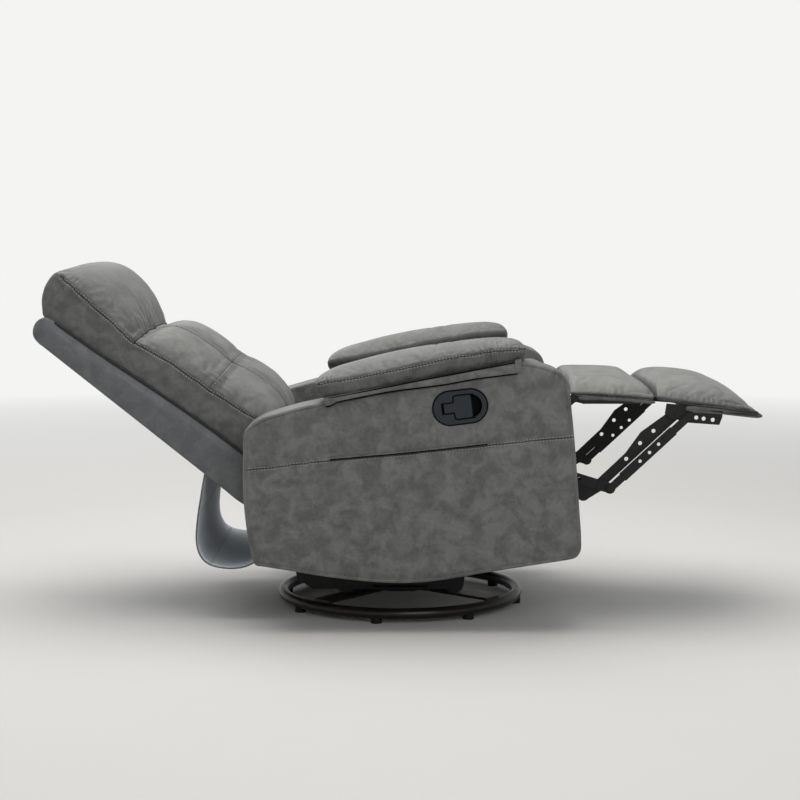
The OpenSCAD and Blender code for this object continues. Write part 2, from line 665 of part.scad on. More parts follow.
spring_l = seat_frame_l - 2 * rail_w - 2 * seat_gap;
spring_turns = floor(spring_l / spring_pitch);
spring_steps = 6;
function spring_point(i, w) = let (
    a = 360 * i / spring_steps, slope = atan2(spring_amp * cos(a) * 2 * PI, spring_l / spring_turns))
    [spring_l * i / spring_steps / spring_turns, spring_amp * sin(a)] + w * [-sin(slope), cos(slope)];
module sinuous() let (n = spring_turns * spring_steps, w = spring_wire / 2)
    polygon(concat([for (i = [0:n]) spring_point(i, w)], [for (i = [0:n]) spring_point(n - i, -w)]));
module seat_springs() color("#9a9896") on_seat() for (k = [0:spring_count - 1])
    translate([-seat_frame_l + rail_w + seat_gap,
        (k - (spring_count - 1) / 2) * 2 * (seat_rail_y - rail_w) / spring_count,
        -spring_drop - spring_wire])
        linear_extrude(spring_wire) intersection() {
            sinuous();
            translate([0, -2 * spring_amp]) square([spring_l, 4 * spring_amp]);
        }

module seat_cushion() color("#77787a") on_seat() translate([seat_pad_rear, 0, seat_gap])
    stuffed(smooth_loop(sized(seat_shares, seat_pad_l, seat_pad_h), 2), seat_pad_w / 2, 13,
        edge = 0.12, crown = seat_crown, waist = 0.01);

// The back
module back_brackets() color("#232121") pair() plate(link1_y, plate_t) difference() {
    knee = from_back(bracket_knee[0], bracket_knee[1]);
    union() {
        bar(back_pivot, knee, bracket_r);
        bar(knee, from_back(bracket_top[0], bracket_top[1]), bracket_r);
        translate(back_pivot) circle(boss_r);
    }
    hole(back_pivot);
}
module back_frame() color("#b98f5c") on_back() {
    pair() translate([shell_n + shell_wall + seat_gap, link1_y - seat_gap - post_w, post_start])
        cube([post_t, post_w, shell_l - shell_top_solid - post_short]);
    for (u = [frame_rail_start, (shell_l - shell_top_solid) / 2, shell_l - shell_top_solid - frame_rail_top])
        translate([shell_n + shell_wall + seat_gap, -link1_y + post_w + 2 * seat_gap, u])
            cube([post_t, 2 * (link1_y - post_w - 2 * seat_gap), frame_rail_h]);
}
module shell_outline(inset = 0) offset(delta = -inset)
    translate([shell_n, 0]) polygon(sized(shell_shares, shell_t, shell_l));
module shell_slice(y, inset) translate([0, y, 0]) rotate([90, 0, 0]) linear_extrude(fit)
    shell_outline(inset);
module back_shell() color("#4b4f54") on_back() difference() {
    hull() for (s = [-1, 1]) for (a = [0:30:90])
        shell_slice(s * (back_w / 2 - shell_round + shell_round * sin(a)), shell_round * (1 - cos(a)));
    translate([shell_n + shell_wall, -back_w / 2 + shell_wall, -over])
        cube([shell_t, back_w - 2 * shell_wall, shell_l - shell_top_solid + over]);
}
module back_cushion() color("#77787a") on_back() translate([lumbar_at[1], 0, lumbar_at[0]])
    stuffed(smooth_loop(sized(lumbar_shares, lumbar_l, lumbar_t), 2), back_w / 2, 15, edge = 0.2,
        crown = lumbar_crown, waist = 0.012, channels = [[lumbar_l * half, channel_depth, channel_spread]],
        way = "up");
module headrest_cushion() color("#77787a") on_back() translate([head_at[1], 0, head_at[0]])
    stuffed(smooth_loop(sized(head_shares, head_l, head_t_full), 2), back_w / 2, 13, edge = 0.24,
        crown = head_crown, waist = 0.006, way = "up");

// The rear flap: three lengths that hang from a bead under the shell
flap_top = from_back(shell_n - flap_bead_r - seat_gap, flap_bead_u);
module flap_bead() color("#3c3f43") rod(flap_top, -flap_w / 2, flap_w / 2, flap_bead_r);
module flap(p, q, start, end_r) color("#9aa4ac") {
    d = (q - p) / norm(q - p);
    plate(-flap_w / 2, flap_w) {
        translate(p) rotate(atan2(d[1], d[0]))
            translate([start, -shank_share * flap_t / 2])
                square([norm(q - p) - start - (end_r > 0 ? 0 : seat_gap), shank_share * flap_t]);
        if (end_r > 0) translate(q) circle(end_r);
    }
}
module flap_upper() flap(flap_top, flap_fold, flap_bead_r + flap_joint_gap, flap_t / 2);
module flap_middle() flap(flap_fold, flap_sole, flap_t / 2 + flap_joint_gap, flap_t / 2);
module flap_lower() flap(flap_sole, flap_end, flap_t / 2 + flap_joint_gap, 0);

// The leg rest, hinged at the front of the seat
leg_arm_r = 6;
leg_arm_drop = 9.5;
leg_arm_knee = 24;
leg_arm_end = 36;
leg_arm_z = leg_at[1] - seat_gap - leg_arm_drop;
module leg_hinge_arms() color("#232121") pair() plate(link1_y, plate_t) difference() {
    union() {
        translate(leg_pivot) circle(thin_link_r);
        bar(leg_pivot, [leg_pivot[0] + leg_arm_knee, leg_arm_z], leg_arm_r);
        bar([leg_pivot[0] + leg_arm_knee, leg_arm_z], [leg_at[0] + leg_pad_l - leg_arm_end, leg_arm_z],
            leg_arm_r);
    }
    hole(leg_pivot);
}
module leg_board() color("#2b2a29")
    translate([leg_at[0], -link1_y + seat_gap, leg_at[1] - seat_gap - board_t])
        cube([leg_board_l, 2 * (link1_y - seat_gap), board_t]);
module leg_pad() color("#77787a") translate([leg_at[0], 0, leg_at[1]])
    stuffed(smooth_loop(sized(leg_shares, leg_pad_l, leg_pad_h), 2), foot_w / 2, 13, edge = 0.26,
        crown = foot_crown, waist = 0.01);

// The footrest linkage
drive_at = foot_pivot + drive_share * (elbow_upper - foot_pivot);
module footrest_main_links() color("#1b1a1a") pair() plate(link1_y, plate_t) difference() {
    union() {
        bar(foot_pivot, elbow_lower, link_r);
        translate(elbow_upper) circle(link_r);
        translate(foot_pivot) circle(boss_r);
    }
    for (p = [foot_pivot, elbow_upper, elbow_lower]) hole(p);
    translate(foot_pivot + main_hole_share * (elbow_upper - foot_pivot)) circle(small_hole_r);
}
module footrest_drive_tube() color("#1b1a1a") difference() {
    rod(drive_at, -link1_y, link1_y, drive_tube_d / 2);
    rod(drive_at, -link1_y - over, link1_y + over, drive_tube_d / 2 - drive_tube_wall);
}
module elbow_rivets() color("#8d8b88") pair() {
    rivet(elbow_upper, link2_y, link1_y + plate_t);
    rivet(elbow_lower, link1_y, seat_plate_y + plate_t);
}
module footrest_control_links() color("#1b1a1a") pair() plate(link3_y, plate_t) difference() {
    bar(control_pivot, control_elbow, thin_link_r);
    hole(control_pivot);
    hole(control_elbow);
}
// The long links widen between their ends: shares run along the link and across it
link_hole_r = 4.5;
upper_link_w = 24;
upper_link_shares = [[0, 0.5], [0.38, 0.54], [0.62, 1], [0.9, 0.67], [1, 0.46], [1, -0.42], [0.9, -0.38],
    [0.05, -0.38], [0, -0.46]];
upper_hole_shares = [[0.35, 0.1], [0.545, 0.3], [0.715, 0.3]];
lower_link_w = 10.5;
lower_link_shares = [[0.13, 0], [0.16, 1], [0.8, 1], [0.83, 0], [0.8, -1], [0.16, -1]];
lower_hole_shares = [0.38, 0.5, 0.615];
function on_reach(p, s, w) = p + s[0] * toe_reach
    + s[1] * w * [-toe_reach[1], toe_reach[0]] / norm(toe_reach);
module footrest_upper_links() color("#1b1a1a") pair() {
    plate(link2_y, plate_t) difference() {
        union() {
            polygon([for (s = upper_link_shares) on_reach(elbow_upper, s, upper_link_w)]);
            translate(toe_upper) circle(link_r + 1);
            bar(control_elbow, elbow_upper, boss_r);
            bar(elbow_upper, elbow_upper + elbow_tail, link_r);
            bar(elbow_upper + elbow_tail, control_elbow, link_r);
            polygon([control_elbow, elbow_upper, elbow_upper + elbow_tail]);
        }
        hole(elbow_upper);
        hole(control_elbow);
        hole(toe_upper);
        for (s = upper_hole_shares) translate(on_reach(elbow_upper, s, upper_link_w)) circle(link_hole_r);
    }
    rivet(control_elbow, link3_y, link2_y + plate_t);
}
module footrest_lower_links() color("#1b1a1a") pair() plate(seat_plate_y, plate_t) difference() {
    union() {
        bar(elbow_lower, toe_lower, thin_link_r);
        polygon([for (s = lower_link_shares) on_reach(elbow_lower, s, lower_link_w)]);
    }
    hole(elbow_lower);
    hole(toe_lower);
    for (s = lower_hole_shares) translate(elbow_lower + s * toe_reach) circle(small_hole_r);
}

// The footrest itself
module on_foot() translate([foot_at[0], 0, foot_at[1]]) rotate([0, foot_tilt, 0]) children();
function foot_place(a, b) = foot_at + a * [cos(foot_tilt), -sin(foot_tilt)]
    + b * [sin(foot_tilt), cos(foot_tilt)];
module footrest_brackets() color("#1b1a1a") pair() plate(link1_y, plate_t) difference() {
    union() {
        translate(foot_place(foot_bracket_start, -seat_gap - foot_bracket_h)) rotate(-foot_tilt)
            polygon(sized(foot_bracket_shares, foot_bracket_l, foot_bracket_h));
        bar(toe_upper, toe_lower, boss_r);
    }
    hole(toe_upper);
    hole(toe_lower);
    translate(foot_place(foot_bracket_start, -seat_gap - foot_bracket_h)) rotate(-foot_tilt)
        for (p = sized(foot_bracket_hole_shares, foot_bracket_l, foot_bracket_h))
            translate(p) circle(link_hole_r);
}
module toe_rivets() color("#8d8b88") pair() {
    rivet(toe_upper, link2_y, link1_y + plate_t);
    rivet(toe_lower, link1_y, seat_plate_y + plate_t);
}
module foot_board() color("#2b2a29") on_foot()
    translate([foot_board_start, -link1_y + seat_gap, -seat_gap - board_t])
        cube([foot_board_l, 2 * (link1_y - seat_gap), board_t]);
module foot_pad() color("#77787a") on_foot()
    stuffed(smooth_loop(sized(foot_shares, foot_pad_l, foot_pad_h), 2), foot_w / 2, 13, edge = 0.26,
        crown = foot_crown, waist = 0.012);

base_ring();
base_cross_arms();
floor_pads();
bearing_lower_race();
bearing_upper_race();
swivel_plate();
glider_ears();
swivel_rivets();
swing_links_front();
swing_links_rear();
glider_plate_left();
glider_plate_right();
chassis_tubes();
chassis_rivets();
mechanism_rail_left();
mechanism_rail_right();
rear_rail();
arm_left();
arm_right();
arm_inner_panels();
arm_pad_left();
arm_pad_right();
arm_pad_strips();
handle_bezel();
handle_paddle();
carrier_links_front();
carrier_links_rear();
seat_plate_left();
seat_plate_right();
seat_rivets();
seat_side_rails();
seat_cross_rails();
seat_springs();
seat_cushion();
back_brackets();
back_frame();
back_shell();
back_cushion();
headrest_cushion();
flap_bead();
flap_upper();
flap_middle();
flap_lower();
leg_hinge_arms();
leg_board();
leg_pad();
footrest_main_links();
footrest_drive_tube();
elbow_rivets();
footrest_control_links();
footrest_upper_links();
footrest_lower_links();
footrest_brackets();
toe_rivets();
foot_board();
foot_pad();
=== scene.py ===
"""A swivel glider recliner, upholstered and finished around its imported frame.

Lengths are in millimetres, and MM turns them to metres where they are used. The stage is in metres throughout.
"""
import math

import bmesh
import bpy
import numpy as np
from bmesh.types import BMEdge, BMVert
from bpy.props import FloatProperty, FloatVectorProperty, IntProperty, PointerProperty
from bpy.types import Operator, Panel, PropertyGroup
from mathutils import Matrix, Vector
from mathutils.bvhtree import BVHTree


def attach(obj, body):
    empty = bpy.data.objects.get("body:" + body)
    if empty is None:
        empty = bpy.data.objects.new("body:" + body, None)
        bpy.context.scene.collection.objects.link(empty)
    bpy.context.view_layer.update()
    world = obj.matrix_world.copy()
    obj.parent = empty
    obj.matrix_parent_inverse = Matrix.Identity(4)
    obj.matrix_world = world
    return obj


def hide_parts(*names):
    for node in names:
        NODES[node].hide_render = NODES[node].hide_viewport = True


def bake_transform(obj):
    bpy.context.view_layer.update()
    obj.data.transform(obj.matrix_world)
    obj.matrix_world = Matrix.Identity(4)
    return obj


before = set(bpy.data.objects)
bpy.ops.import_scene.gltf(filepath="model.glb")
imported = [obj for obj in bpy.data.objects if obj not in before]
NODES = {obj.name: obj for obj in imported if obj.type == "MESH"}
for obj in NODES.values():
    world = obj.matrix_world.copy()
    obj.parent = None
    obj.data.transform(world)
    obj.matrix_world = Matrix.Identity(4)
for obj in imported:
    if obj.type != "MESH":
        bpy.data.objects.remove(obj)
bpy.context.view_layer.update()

bl_info = {
    "name": "Swivel glider recliner",
    "version": (1, 0, 0),
    "blender": (4, 5, 0),
    "location": "View3D > Sidebar > Recliner",
    "description": "Upholsters the recliner's frame and finishes its steel",
    "category": "Object",
}

MM = 0.001

# The back's own frame: up the back, and out to the front of its cushion
BACK_AT = Vector((-339, 0, 273))
BACK_LEAN = math.radians(51.3)
BACK_UP = Vector((-math.sin(BACK_LEAN), 0, math.cos(BACK_LEAN)))
BACK_OUT = Vector((math.cos(BACK_LEAN), 0, math.sin(BACK_LEAN)))
SEAT_AT = Vector((305, 0, 420))
SEAT_SLOPE = math.radians(7)
FOOT_AT = Vector((512, 0, 481.6))
FOOT_TILT = math.radians(-5.4)
# How far out the two sides of an arm lie, the middle of its pad, and the seams along the back cushion
ARM_IN, ARM_OUT = 258.2, 375.0
ARM_PAD_AT, LONG_SEAM_AT = 322, 118
# Half widths of the padded and hung pieces
ARM_PAD_HALF = 65
CUSHION_HALF, SHELL_HALF, SEAT_HALF, LEG_HALF = 243, 248, 237, 246
FLAP_HALF, CREVICE_HALF = 243, 228
SIDES = ((1, "left"), (-1, "right"))
HANDLE_AT = (125, 481)
HANDLE_TILT = math.radians(7)

# Side outlines, as [x, z]
ARM_OUTLINE = [
    (-302, 146), (-285, 143.2), (-230, 134.4), (-147, 121), (-21, 109), (63, 112), (168, 129), (260, 143.4),
    (335, 155.2), (353, 158), (370, 163.5), (379, 177), (380, 200), (379, 222), (377, 245), (370, 340), (364, 412),
    (357.5, 474), (354.3, 504), (353, 516), (345, 540), (332, 554), (301, 566), (275, 572), (249, 575),
    (225, 570.1), (100, 544.4), (-50, 513.5), (-190, 484.7), (-208, 481), (-270, 463.5), (-287, 458), (-312, 443),
    (-324, 430), (-327, 412), (-327.4, 394), (-328, 292), (-318, 198), (-312, 170), (-307, 152)]
ARM_PAD_OUTLINE = [
    (-150, 494), (-170, 503), (-180, 522), (-176, 537), (-163, 547), (-137, 558), (-90, 571), (-28, 587),
    (45, 601.5), (118, 612.5), (183, 619.5), (220, 622.5), (243, 620), (258, 612), (265, 599), (264, 584), (257, 574.5),
    (243, 571), (85, 541)]
ARM_PAD_SEAM = [(-178, 527), (-150, 533), (-124, 536.5), (-56, 548), (22, 565), (80, 577.5), (152, 590),
                (190, 596.5), (223, 600), (262, 601)]
ARM_SEAM = [(-320.9, 347.5), (-287, 351.4), (-254, 355.6), (-220, 360), (-187, 364), (-146.5, 367.8), (16.7, 382),
            (182, 400), (249, 407.1), (366, 418.3)]
STRIP_OUTLINE = [
    (-155, 501), (-160, 492), (-153, 484), (-143, 486), (-131, 493), (-83, 503), (-40, 511.5), (0, 518), (40, 522.8),
    (83, 528.3), (98, 530.5), (152, 540.5), (188, 545.5), (243, 552.5), (249, 556), (252, 579), (85, 545)]
STRIP_TAB = [(237, 551.5), (250, 554), (252, 582), (238, 580)]
# where a dark cord of painted shade runs between the arm pad and the strip under it
PAD_TUCK_SHADOW = [(-148, 499), (-60, 516), (25, 533), (85, 544.6), (160, 559), (240, 574)]
# Half the line round the handle's paddle: up its stem, over its shoulder and along its grip to the cup
PADDLE_LINE = [(30, 24.6), (8, 25.2), (-9, 24.8), (-12.6, 21.5), (-13.6, 13), (-15, 11.2), (-36, 11), (-37.8, 9)]
# Outlines in the back's frame, as [up the back, out to the front]
CUSHION_OUTLINE = [
    (14, 70), (60, 66), (200, 57), (330, 49), (460, 40), (565, 33), (588, 42), (608, 65), (620, 94),
    (621, 120), (612, 144), (594, 165), (570, 183), (543, 196), (510, 199), (475, 194), (440, 183),
    (414, 171), (396, 155), (385, 130), (377, 160), (361, 184), (342, 197), (315, 204), (285, 208),
    (250, 210), (215, 213), (192, 215), (165, 219), (135, 222), (100, 222), (68, 216), (42, 202),
    (20, 182), (6, 156), (2, 122)]
CUSHION_SEAM = [(0, 150), (82, 151), (112, 145), (202, 135), (300, 130), (352, 122), (400, 114),
                (452, 119), (518, 122), (600, 130), (640, 128)]
LONG_SEAM = [(376, 168), (340, 192), (300, 200), (250, 205), (203, 208), (150, 214), (100, 216), (50, 202), (22, 180)]
SHELL_OUTLINE = [
    (-24, 6), (-18, -8), (-4, -13), (60, -13), (300, -13), (530, -13), (548, -13), (566, -8), (577, 6), (580, 22),
    (573, 38), (556, 44), (540, 45), (500, 47.5), (426, 52), (291, 64), (154, 73), (30, 76), (-8, 75), (-20, 66),
    (-26, 36)]
# where a dark cord of painted shadow runs in the crevice between the back cushion and the outer back
SHELL_CREVICE_SHADOW = [(40, 74.5), (154, 72), (291, 63), (426, 51), (500, 46.5), (548, 43)]
# The seam across the lumbar cushion, as [to the sitter's left, out to the front]
CROSS_SEAM = [(-240, 137), (-200, 170), (-160, 190), (-118, 203), (-60, 210), (0, 212), (60, 210), (118, 203),
              (160, 190), (200, 170), (240, 137)]
# Outlines in the seat's frame, as [forward from its front rail, up]
SEAT_OUTLINE = [
    (9, 1), (37, 39), (56, 68), (65, 92), (52, 112), (8, 126), (-60, 132), (-132, 133), (-210, 130),
    (-289, 125), (-360, 122), (-398, 119), (-436, 106), (-449, 72), (-448, 24), (-428, 1), (-270, 1)]
LEG_OUTLINE = [
    (366, 494), (432, 490.5), (500, 485.5), (540, 481.5), (547, 483.5), (550, 493), (548, 503), (541, 513),
    (527, 521), (503, 527), (468, 529.5), (430, 530), (395, 530), (375, 527), (366, 516)]
LEG_SOLE_OUTLINE = [(384, 490.5), (384, 484.5), (430, 482.3), (480, 479.5), (530, 475.5), (545, 474.8),
                    (550, 477.5), (547, 480.5), (500, 486), (430, 490.8)]
# Outlines in the foot pad's frame, as [forward, up]
FOOT_OUTLINE = [
    (44, 6), (60, 4), (120, 1.5), (190, 0), (235, -1.5), (253, -2.5), (261, -1.5), (258, 4.5), (243, 18), (224, 32),
    (203, 43), (175, 51.2), (150, 54.3), (125, 55), (92, 54), (68, 50), (50, 43), (40, 36), (37, 26), (38, 14)]
SOLE_OUTLINE = [(106, -11.4), (180, -12.4), (235, -13.6), (262, -14), (271, -12), (273.5, -9), (268, -4), (250, -1),
                (106, -1)]
# The rear flap, from the shell down, round its fold and in under the seat, and where its lengths meet
FLAP_PATH = [
    (-421.1, 324), (-426, 300), (-431, 270), (-436, 240), (-440, 208), (-441.5, 180), (-438, 156),
    (-428, 136), (-412, 124), (-390, 118), (-366, 116), (-340, 119), (-315, 130), (-280, 153), (-248, 175)]
FLAP_FOLDS = [(-436, 240), (-412, 124)]
# The fabric between the seat cushion and the back cushion
CREVICE_PATH = [(-122, 478), (-146, 462), (-166, 438), (-186, 408), (-208, 386), (-232, 372), (-262, 362)]


class RecliningLeather(PropertyGroup):
    """Tones and grain of the upholstery."""
    arm_dark: FloatVectorProperty(name="Arm tone, dark", description="Darker patches of the arms' leather",
        subtype="COLOR", size=4, default=(0.064, 0.065, 0.062, 1))
    arm_light: FloatVectorProperty(name="Arm tone, light", description="Lighter patches of the arms' leather",
        subtype="COLOR", size=4, default=(0.157, 0.156, 0.147, 1))
    pad_dark: FloatVectorProperty(name="Cushion tone, dark", description="Darker patches of the cushions' leather",
        subtype="COLOR", size=4, default=(0.057, 0.059, 0.058, 1))
    pad_light: FloatVectorProperty(name="Cushion tone, light", description="Lighter patches of the cushions' leather",
        subtype="COLOR", size=4, default=(0.122, 0.121, 0.113, 1))
    # painted highlight: the paler tone where the leather is pulled over its stuffing is laid only on up-facing tops, as
    # if lit from above
    pull_and_top_light: FloatVectorProperty(name="Pulled, top-lit tone", description="Where the leather is pulled over its stuffing",
        subtype="COLOR", size=4, default=(0.215, 0.213, 0.196, 1))
    shell_dark: FloatVectorProperty(name="Outer back tone, dark", description="Darker patches of the outer back",
        subtype="COLOR", size=4, default=(0.078, 0.083, 0.088, 1))
    shell_light: FloatVectorProperty(name="Outer back tone, light", description="Lighter patches of the outer back",
        subtype="COLOR", size=4, default=(0.130, 0.134, 0.137, 1))
    patch: FloatProperty(name="Mottling", description="Patches per metre", default=24.0, min=2, max=60)
    grain: FloatProperty(name="Grain", description="Pebbles per metre", default=620.0, min=100, max=2000)


class RecliningSewing(PropertyGroup):
    """Size and tone of the visible stitching."""
    stitch: FloatProperty(name="Stitch", description="Length of one stitch",
        default=4.6 * MM, unit="LENGTH", min=1 * MM, max=12 * MM)
    space: FloatProperty(name="Space", description="Gap between stitches",
        default=2.2 * MM, unit="LENGTH", min=0.5 * MM, max=8 * MM)
    thread: FloatProperty(name="Thread", description="Thickness of the thread",
        default=1.3 * MM, unit="LENGTH", min=0.3 * MM, max=3 * MM)
    rows: FloatProperty(name="Rows", description="Distance from a seam to each of its two rows",
        default=4.0 * MM, unit="LENGTH", min=1 * MM, max=12 * MM)
    tone: FloatVectorProperty(name="Thread tone", description="Colour of the thread",
        subtype="COLOR", size=4, default=(0.40, 0.40, 0.38, 1))


class RecliningStuffing(PropertyGroup):
    """How the cushions are blown up."""
    pressure: FloatProperty(name="Pressure", description="Pressure inside a cushion's cloth",
        default=4.0, min=0, max=20)
    frames: IntProperty(name="Frames", description="Steps of each simulation", default=20, min=1, max=60)
    slack: FloatProperty(name="Slack", description="Extra cloth that gathers at the seams",
        default=0.012, min=0, max=0.2)


class RecliningStage(PropertyGroup):
    """Floor, lamps and camera."""
    floor: FloatVectorProperty(name="Floor tone", description="Colour of the floor",
        subtype="COLOR", size=4, default=(0.62, 0.61, 0.59, 1))
    wall: FloatVectorProperty(name="Wall tone", description="Colour behind the chair",
        subtype="COLOR", size=4, default=(0.905, 0.905, 0.890, 1))
    top_lamp: FloatProperty(name="Top lamp", description="Power of the lamp overhead, in watts", default=105.0)
    front_lamp: FloatProperty(name="Front lamp", description="Power of the lamp by the camera, in watts", default=42.0)
    air: FloatProperty(name="Air", description="Strength of the light from all around", default=0.42)
    camera_distance: FloatProperty(name="Camera distance", description="From the swivel axis",
        default=4.05, unit="LENGTH")
    camera_height: FloatProperty(name="Camera height", description="Above the floor", default=0.843, unit="LENGTH")
    camera_pitch: FloatProperty(name="Camera pitch", description="Below level",
        default=math.radians(5.401), unit="ROTATION")
    lens: FloatProperty(name="Lens", description="Focal length in millimetres", default=79.97)


# Small maths

def rounded(points, steps=4):
    """A closed smooth line through the points, that keeps close to them where short steps meet long ones."""
    n, line = len(points), []
    for i in range(n):
        a, b, c, d = (np.array(points[(i + k) % n], float) for k in (-1, 0, 1, 2))
        before, here, after = (np.linalg.norm(q - p) ** 0.5 for p, q in ((a, b), (b, c), (c, d)))
        leave = c - b + here * ((b - a) / before - (c - a) / (before + here))
        reach = c - b + here * ((d - c) / after - (d - b) / (here + after))
        for t in np.arange(steps) / steps:
            line.append(b + leave * t + (3 * (c - b) - 2 * leave - reach) * t ** 2
                        + (leave + reach - 2 * (c - b)) * t ** 3)
    return line


def stadium(half, radius, turn):
    """A long outline with round ends, which have a point at each turn of so many degrees."""
    return [(x + radius * math.cos(math.radians(a)), radius * math.sin(math.radians(a)))
            for x, start in ((half, -90), (-half, 90)) for a in range(start, start + 181, turn)]


def open_curve(points, step):
    """Points about step apart on a smooth open line, with the length run so far at each."""
    pts = [np.array(p, float) for p in points]
    pts = [2 * pts[0] - pts[1]] + pts + [2 * pts[-1] - pts[-2]]
    fine = []
    for a, b, c, d in zip(pts, pts[1:], pts[2:], pts[3:]):
        for t in np.linspace(0, 1, 24, endpoint=False):
            fine.append(0.5 * (2 * b + (c - a) * t + (2 * a - 5 * b + 4 * c - d) * t ** 2
                               + (3 * b - a - 3 * c + d) * t ** 3))
    fine.append(pts[-2])
    fine = np.array(fine)
    run = np.concatenate([[0], np.cumsum(np.linalg.norm(np.diff(fine, axis=0), axis=1))])
    count = max(2, int(round(run[-1] / step)) + 1)
    at = np.linspace(0, run[-1], count)
    return np.array([np.interp(at, run, fine[:, k]) for k in range(fine.shape[1])]).T, at


def both_sides(path):
    return [path, [(x, -y, z) for x, y, z in path]]


def height_of(line):
    """A function that reads the second number of a line at its first."""
    xs, zs = zip(*sorted(line))
    return lambda x: float(np.interp(x, xs, zs))


def lies_below(xs, zs):
    """A function that marks the points under a line, where a cushion rests on what is below it."""
    return lambda co: (co[:, 2] < np.interp(co[:, 0] / MM, xs, zs) * MM).astype(float)


def bell(value, at, wide):
    return np.exp(-((value - at) / wide) ** 2)


def rise(value, start, over):
    """Climbs from 0 to 1 over a stretch that begins at start."""
    return np.clip((value - start) / over, 0, 1)


def wander(run, seed):
    """A smooth unsteady number between about -1 and 1 along a seam."""
    rng = np.random.default_rng(seed)
    out = np.zeros_like(run)
    for wave in (0.19, 0.083, 0.041):
        out += np.sin(run / wave * 2 * np.pi + rng.uniform(0, 6.28)) * wave ** 0.4
    return out / 1.1


def back_matrix():
    """From the back's frame (up, across, out) to the chair's."""
    return Matrix.Translation(BACK_AT * MM) @ Matrix((BACK_UP, Vector((0, -1, 0)), BACK_OUT)).transposed().to_4x4()


def tilted_matrix(at, angle):
    """From a frame that is turned up by angle at its front to the chair's."""
    return Matrix.Translation(at * MM) @ Matrix.Rotation(-angle, 4, "Y")


# Meshes

def only(kind, geom):
    """The vertices or the edges in what an operator gives back."""
    return [g for g in geom if isinstance(g, kind)]


def slab(outline, y0, y1):
    """A plate with a side outline, between two places from side to side."""
    bm = bmesh.new()
    face = bm.faces.new([bm.verts.new((p[0] * MM, y0 * MM, p[1] * MM)) for p in outline])
    grown = bmesh.ops.extrude_face_region(bm, geom=[face])["geom"]
    bmesh.ops.translate(bm, vec=(0, (y1 - y0) * MM, 0), verts=only(BMVert, grown))
    bmesh.ops.recalc_face_normals(bm, faces=bm.faces)
    return bm


def ribbon(track, half_width, columns):
    """A strip of cloth along a side line, in so many columns from side to side."""
    bm = bmesh.new()
    first = [bm.verts.new((p[0] * MM, -half_width * MM, p[1] * MM)) for p in track]
    edges = [bm.edges.new(pair) for pair in zip(first, first[1:])]
    for _ in range(columns):
        grown = bmesh.ops.extrude_edge_only(bm, edges=edges)["geom"]
        edges = [e for e in only(BMEdge, grown) if abs(e.verts[0].co.y - e.verts[1].co.y) < 1e-9]
        bmesh.ops.translate(bm, vec=(0, 2 * half_width / columns * MM, 0), verts=only(BMVert, grown))
    return bm


def rolled(outline, section):
    """A closed form with a side outline. section gives, for a point of the outline, the steps across
    the form, each as how far it is set in and where it lies from side to side."""
    pts = np.array(outline, float)
    ahead, behind = np.roll(pts, -1, 0) - pts, pts - np.roll(pts, 1, 0)
    way = ahead / np.linalg.norm(ahead, axis=1)[:, None] + behind / np.linalg.norm(behind, axis=1)[:, None]
    way /= np.linalg.norm(way, axis=1)[:, None]
    turn = np.sign(np.sum(pts[:, 0] * np.roll(pts, -1, 0)[:, 1] - np.roll(pts, -1, 0)[:, 0] * pts[:, 1]))
    inward = np.array([-way[:, 1], way[:, 0]]).T * turn
    bm = bmesh.new()
    columns = []
    for p, n in zip(pts, inward):
        columns.append([bm.verts.new(((p[0] + n[0] * i) * MM, y * MM, (p[1] + n[1] * i) * MM)) for i, y in section(p)])
    for a, b in zip(columns, columns[1:] + columns[:1]):
        for k in range(len(a) - 1):
            bm.faces.new((a[k], b[k], b[k + 1], a[k + 1]))
    bm.faces.new([c[0] for c in columns])
    bm.faces.new([c[-1] for c in columns])
    bmesh.ops.recalc_face_normals(bm, faces=bm.faces)
    return bm


def corner(radius, y, steps=5, sign=1):
    """A rounded corner that ends on a side face at y, as steps for rolled."""
    return [(radius * (1 - math.cos(a)), y - sign * radius * (1 - math.sin(a)))
            for a in np.linspace(0, math.pi / 2, steps + 1)]


def cut(bm, normal, places, faces=None):
    """Cuts across the mesh, or across the marked faces only, at each place along the normal."""
    for p in places:
        chosen = [f for f in bm.faces if faces is None or f.material_index == faces]
        geom = list({v for f in chosen for v in f.verts}) + list({e for f in chosen for e in f.edges}) + chosen
        bmesh.ops.bisect_plane(bm, geom=geom, dist=1e-6, plane_co=Vector(normal) * p, plane_no=normal)


def mirror(bm):
    """Turns a form of the sitter's left into the same one for the right."""
    bmesh.ops.scale(bm, vec=(1, -1, 1), verts=bm.verts)
    bmesh.ops.reverse_faces(bm, faces=bm.faces)


def made(name, bm, material, body, slot):
    """Turns a bmesh into a piece of the chair that rides on a body, or on none."""
    mesh = bpy.data.meshes.new(name)
    bm.to_mesh(mesh)
    bm.free()
    mesh.polygons.foreach_set("use_smooth", [True] * len(mesh.polygons))
    obj = bpy.data.objects.new(name, mesh)
    bpy.context.collection.objects.link(obj)
    obj.data.materials.append(material)
    obj["slot_name"] = slot
    if body:
        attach(obj, body)
    return obj


def lay(pieces, matrix):
    """Takes pieces from the frame they were made in to the chair's."""
    for piece in pieces:
        piece.data.transform(matrix)


def edit(obj, change):
    """Makes a change to a piece's mesh as a bmesh."""
    bm = bmesh.new()
    bm.from_mesh(obj.data)
    change(bm)
    bm.to_mesh(obj.data)
    bm.free()


def apply_modifiers(obj):
    """Bakes the modifiers into the mesh."""
    graph = bpy.context.evaluated_depsgraph_get()
    mesh = bpy.data.meshes.new_from_object(obj.evaluated_get(graph), preserve_all_data_layers=True, depsgraph=graph)
    old, obj.data = obj.data, mesh
    mesh.name = obj.name
    obj.modifiers.clear()
    bpy.data.meshes.remove(old)


def coords(obj):
    co = np.empty(len(obj.data.vertices) * 3)
    obj.data.vertices.foreach_get("co", co)
    return co.reshape(-1, 3)


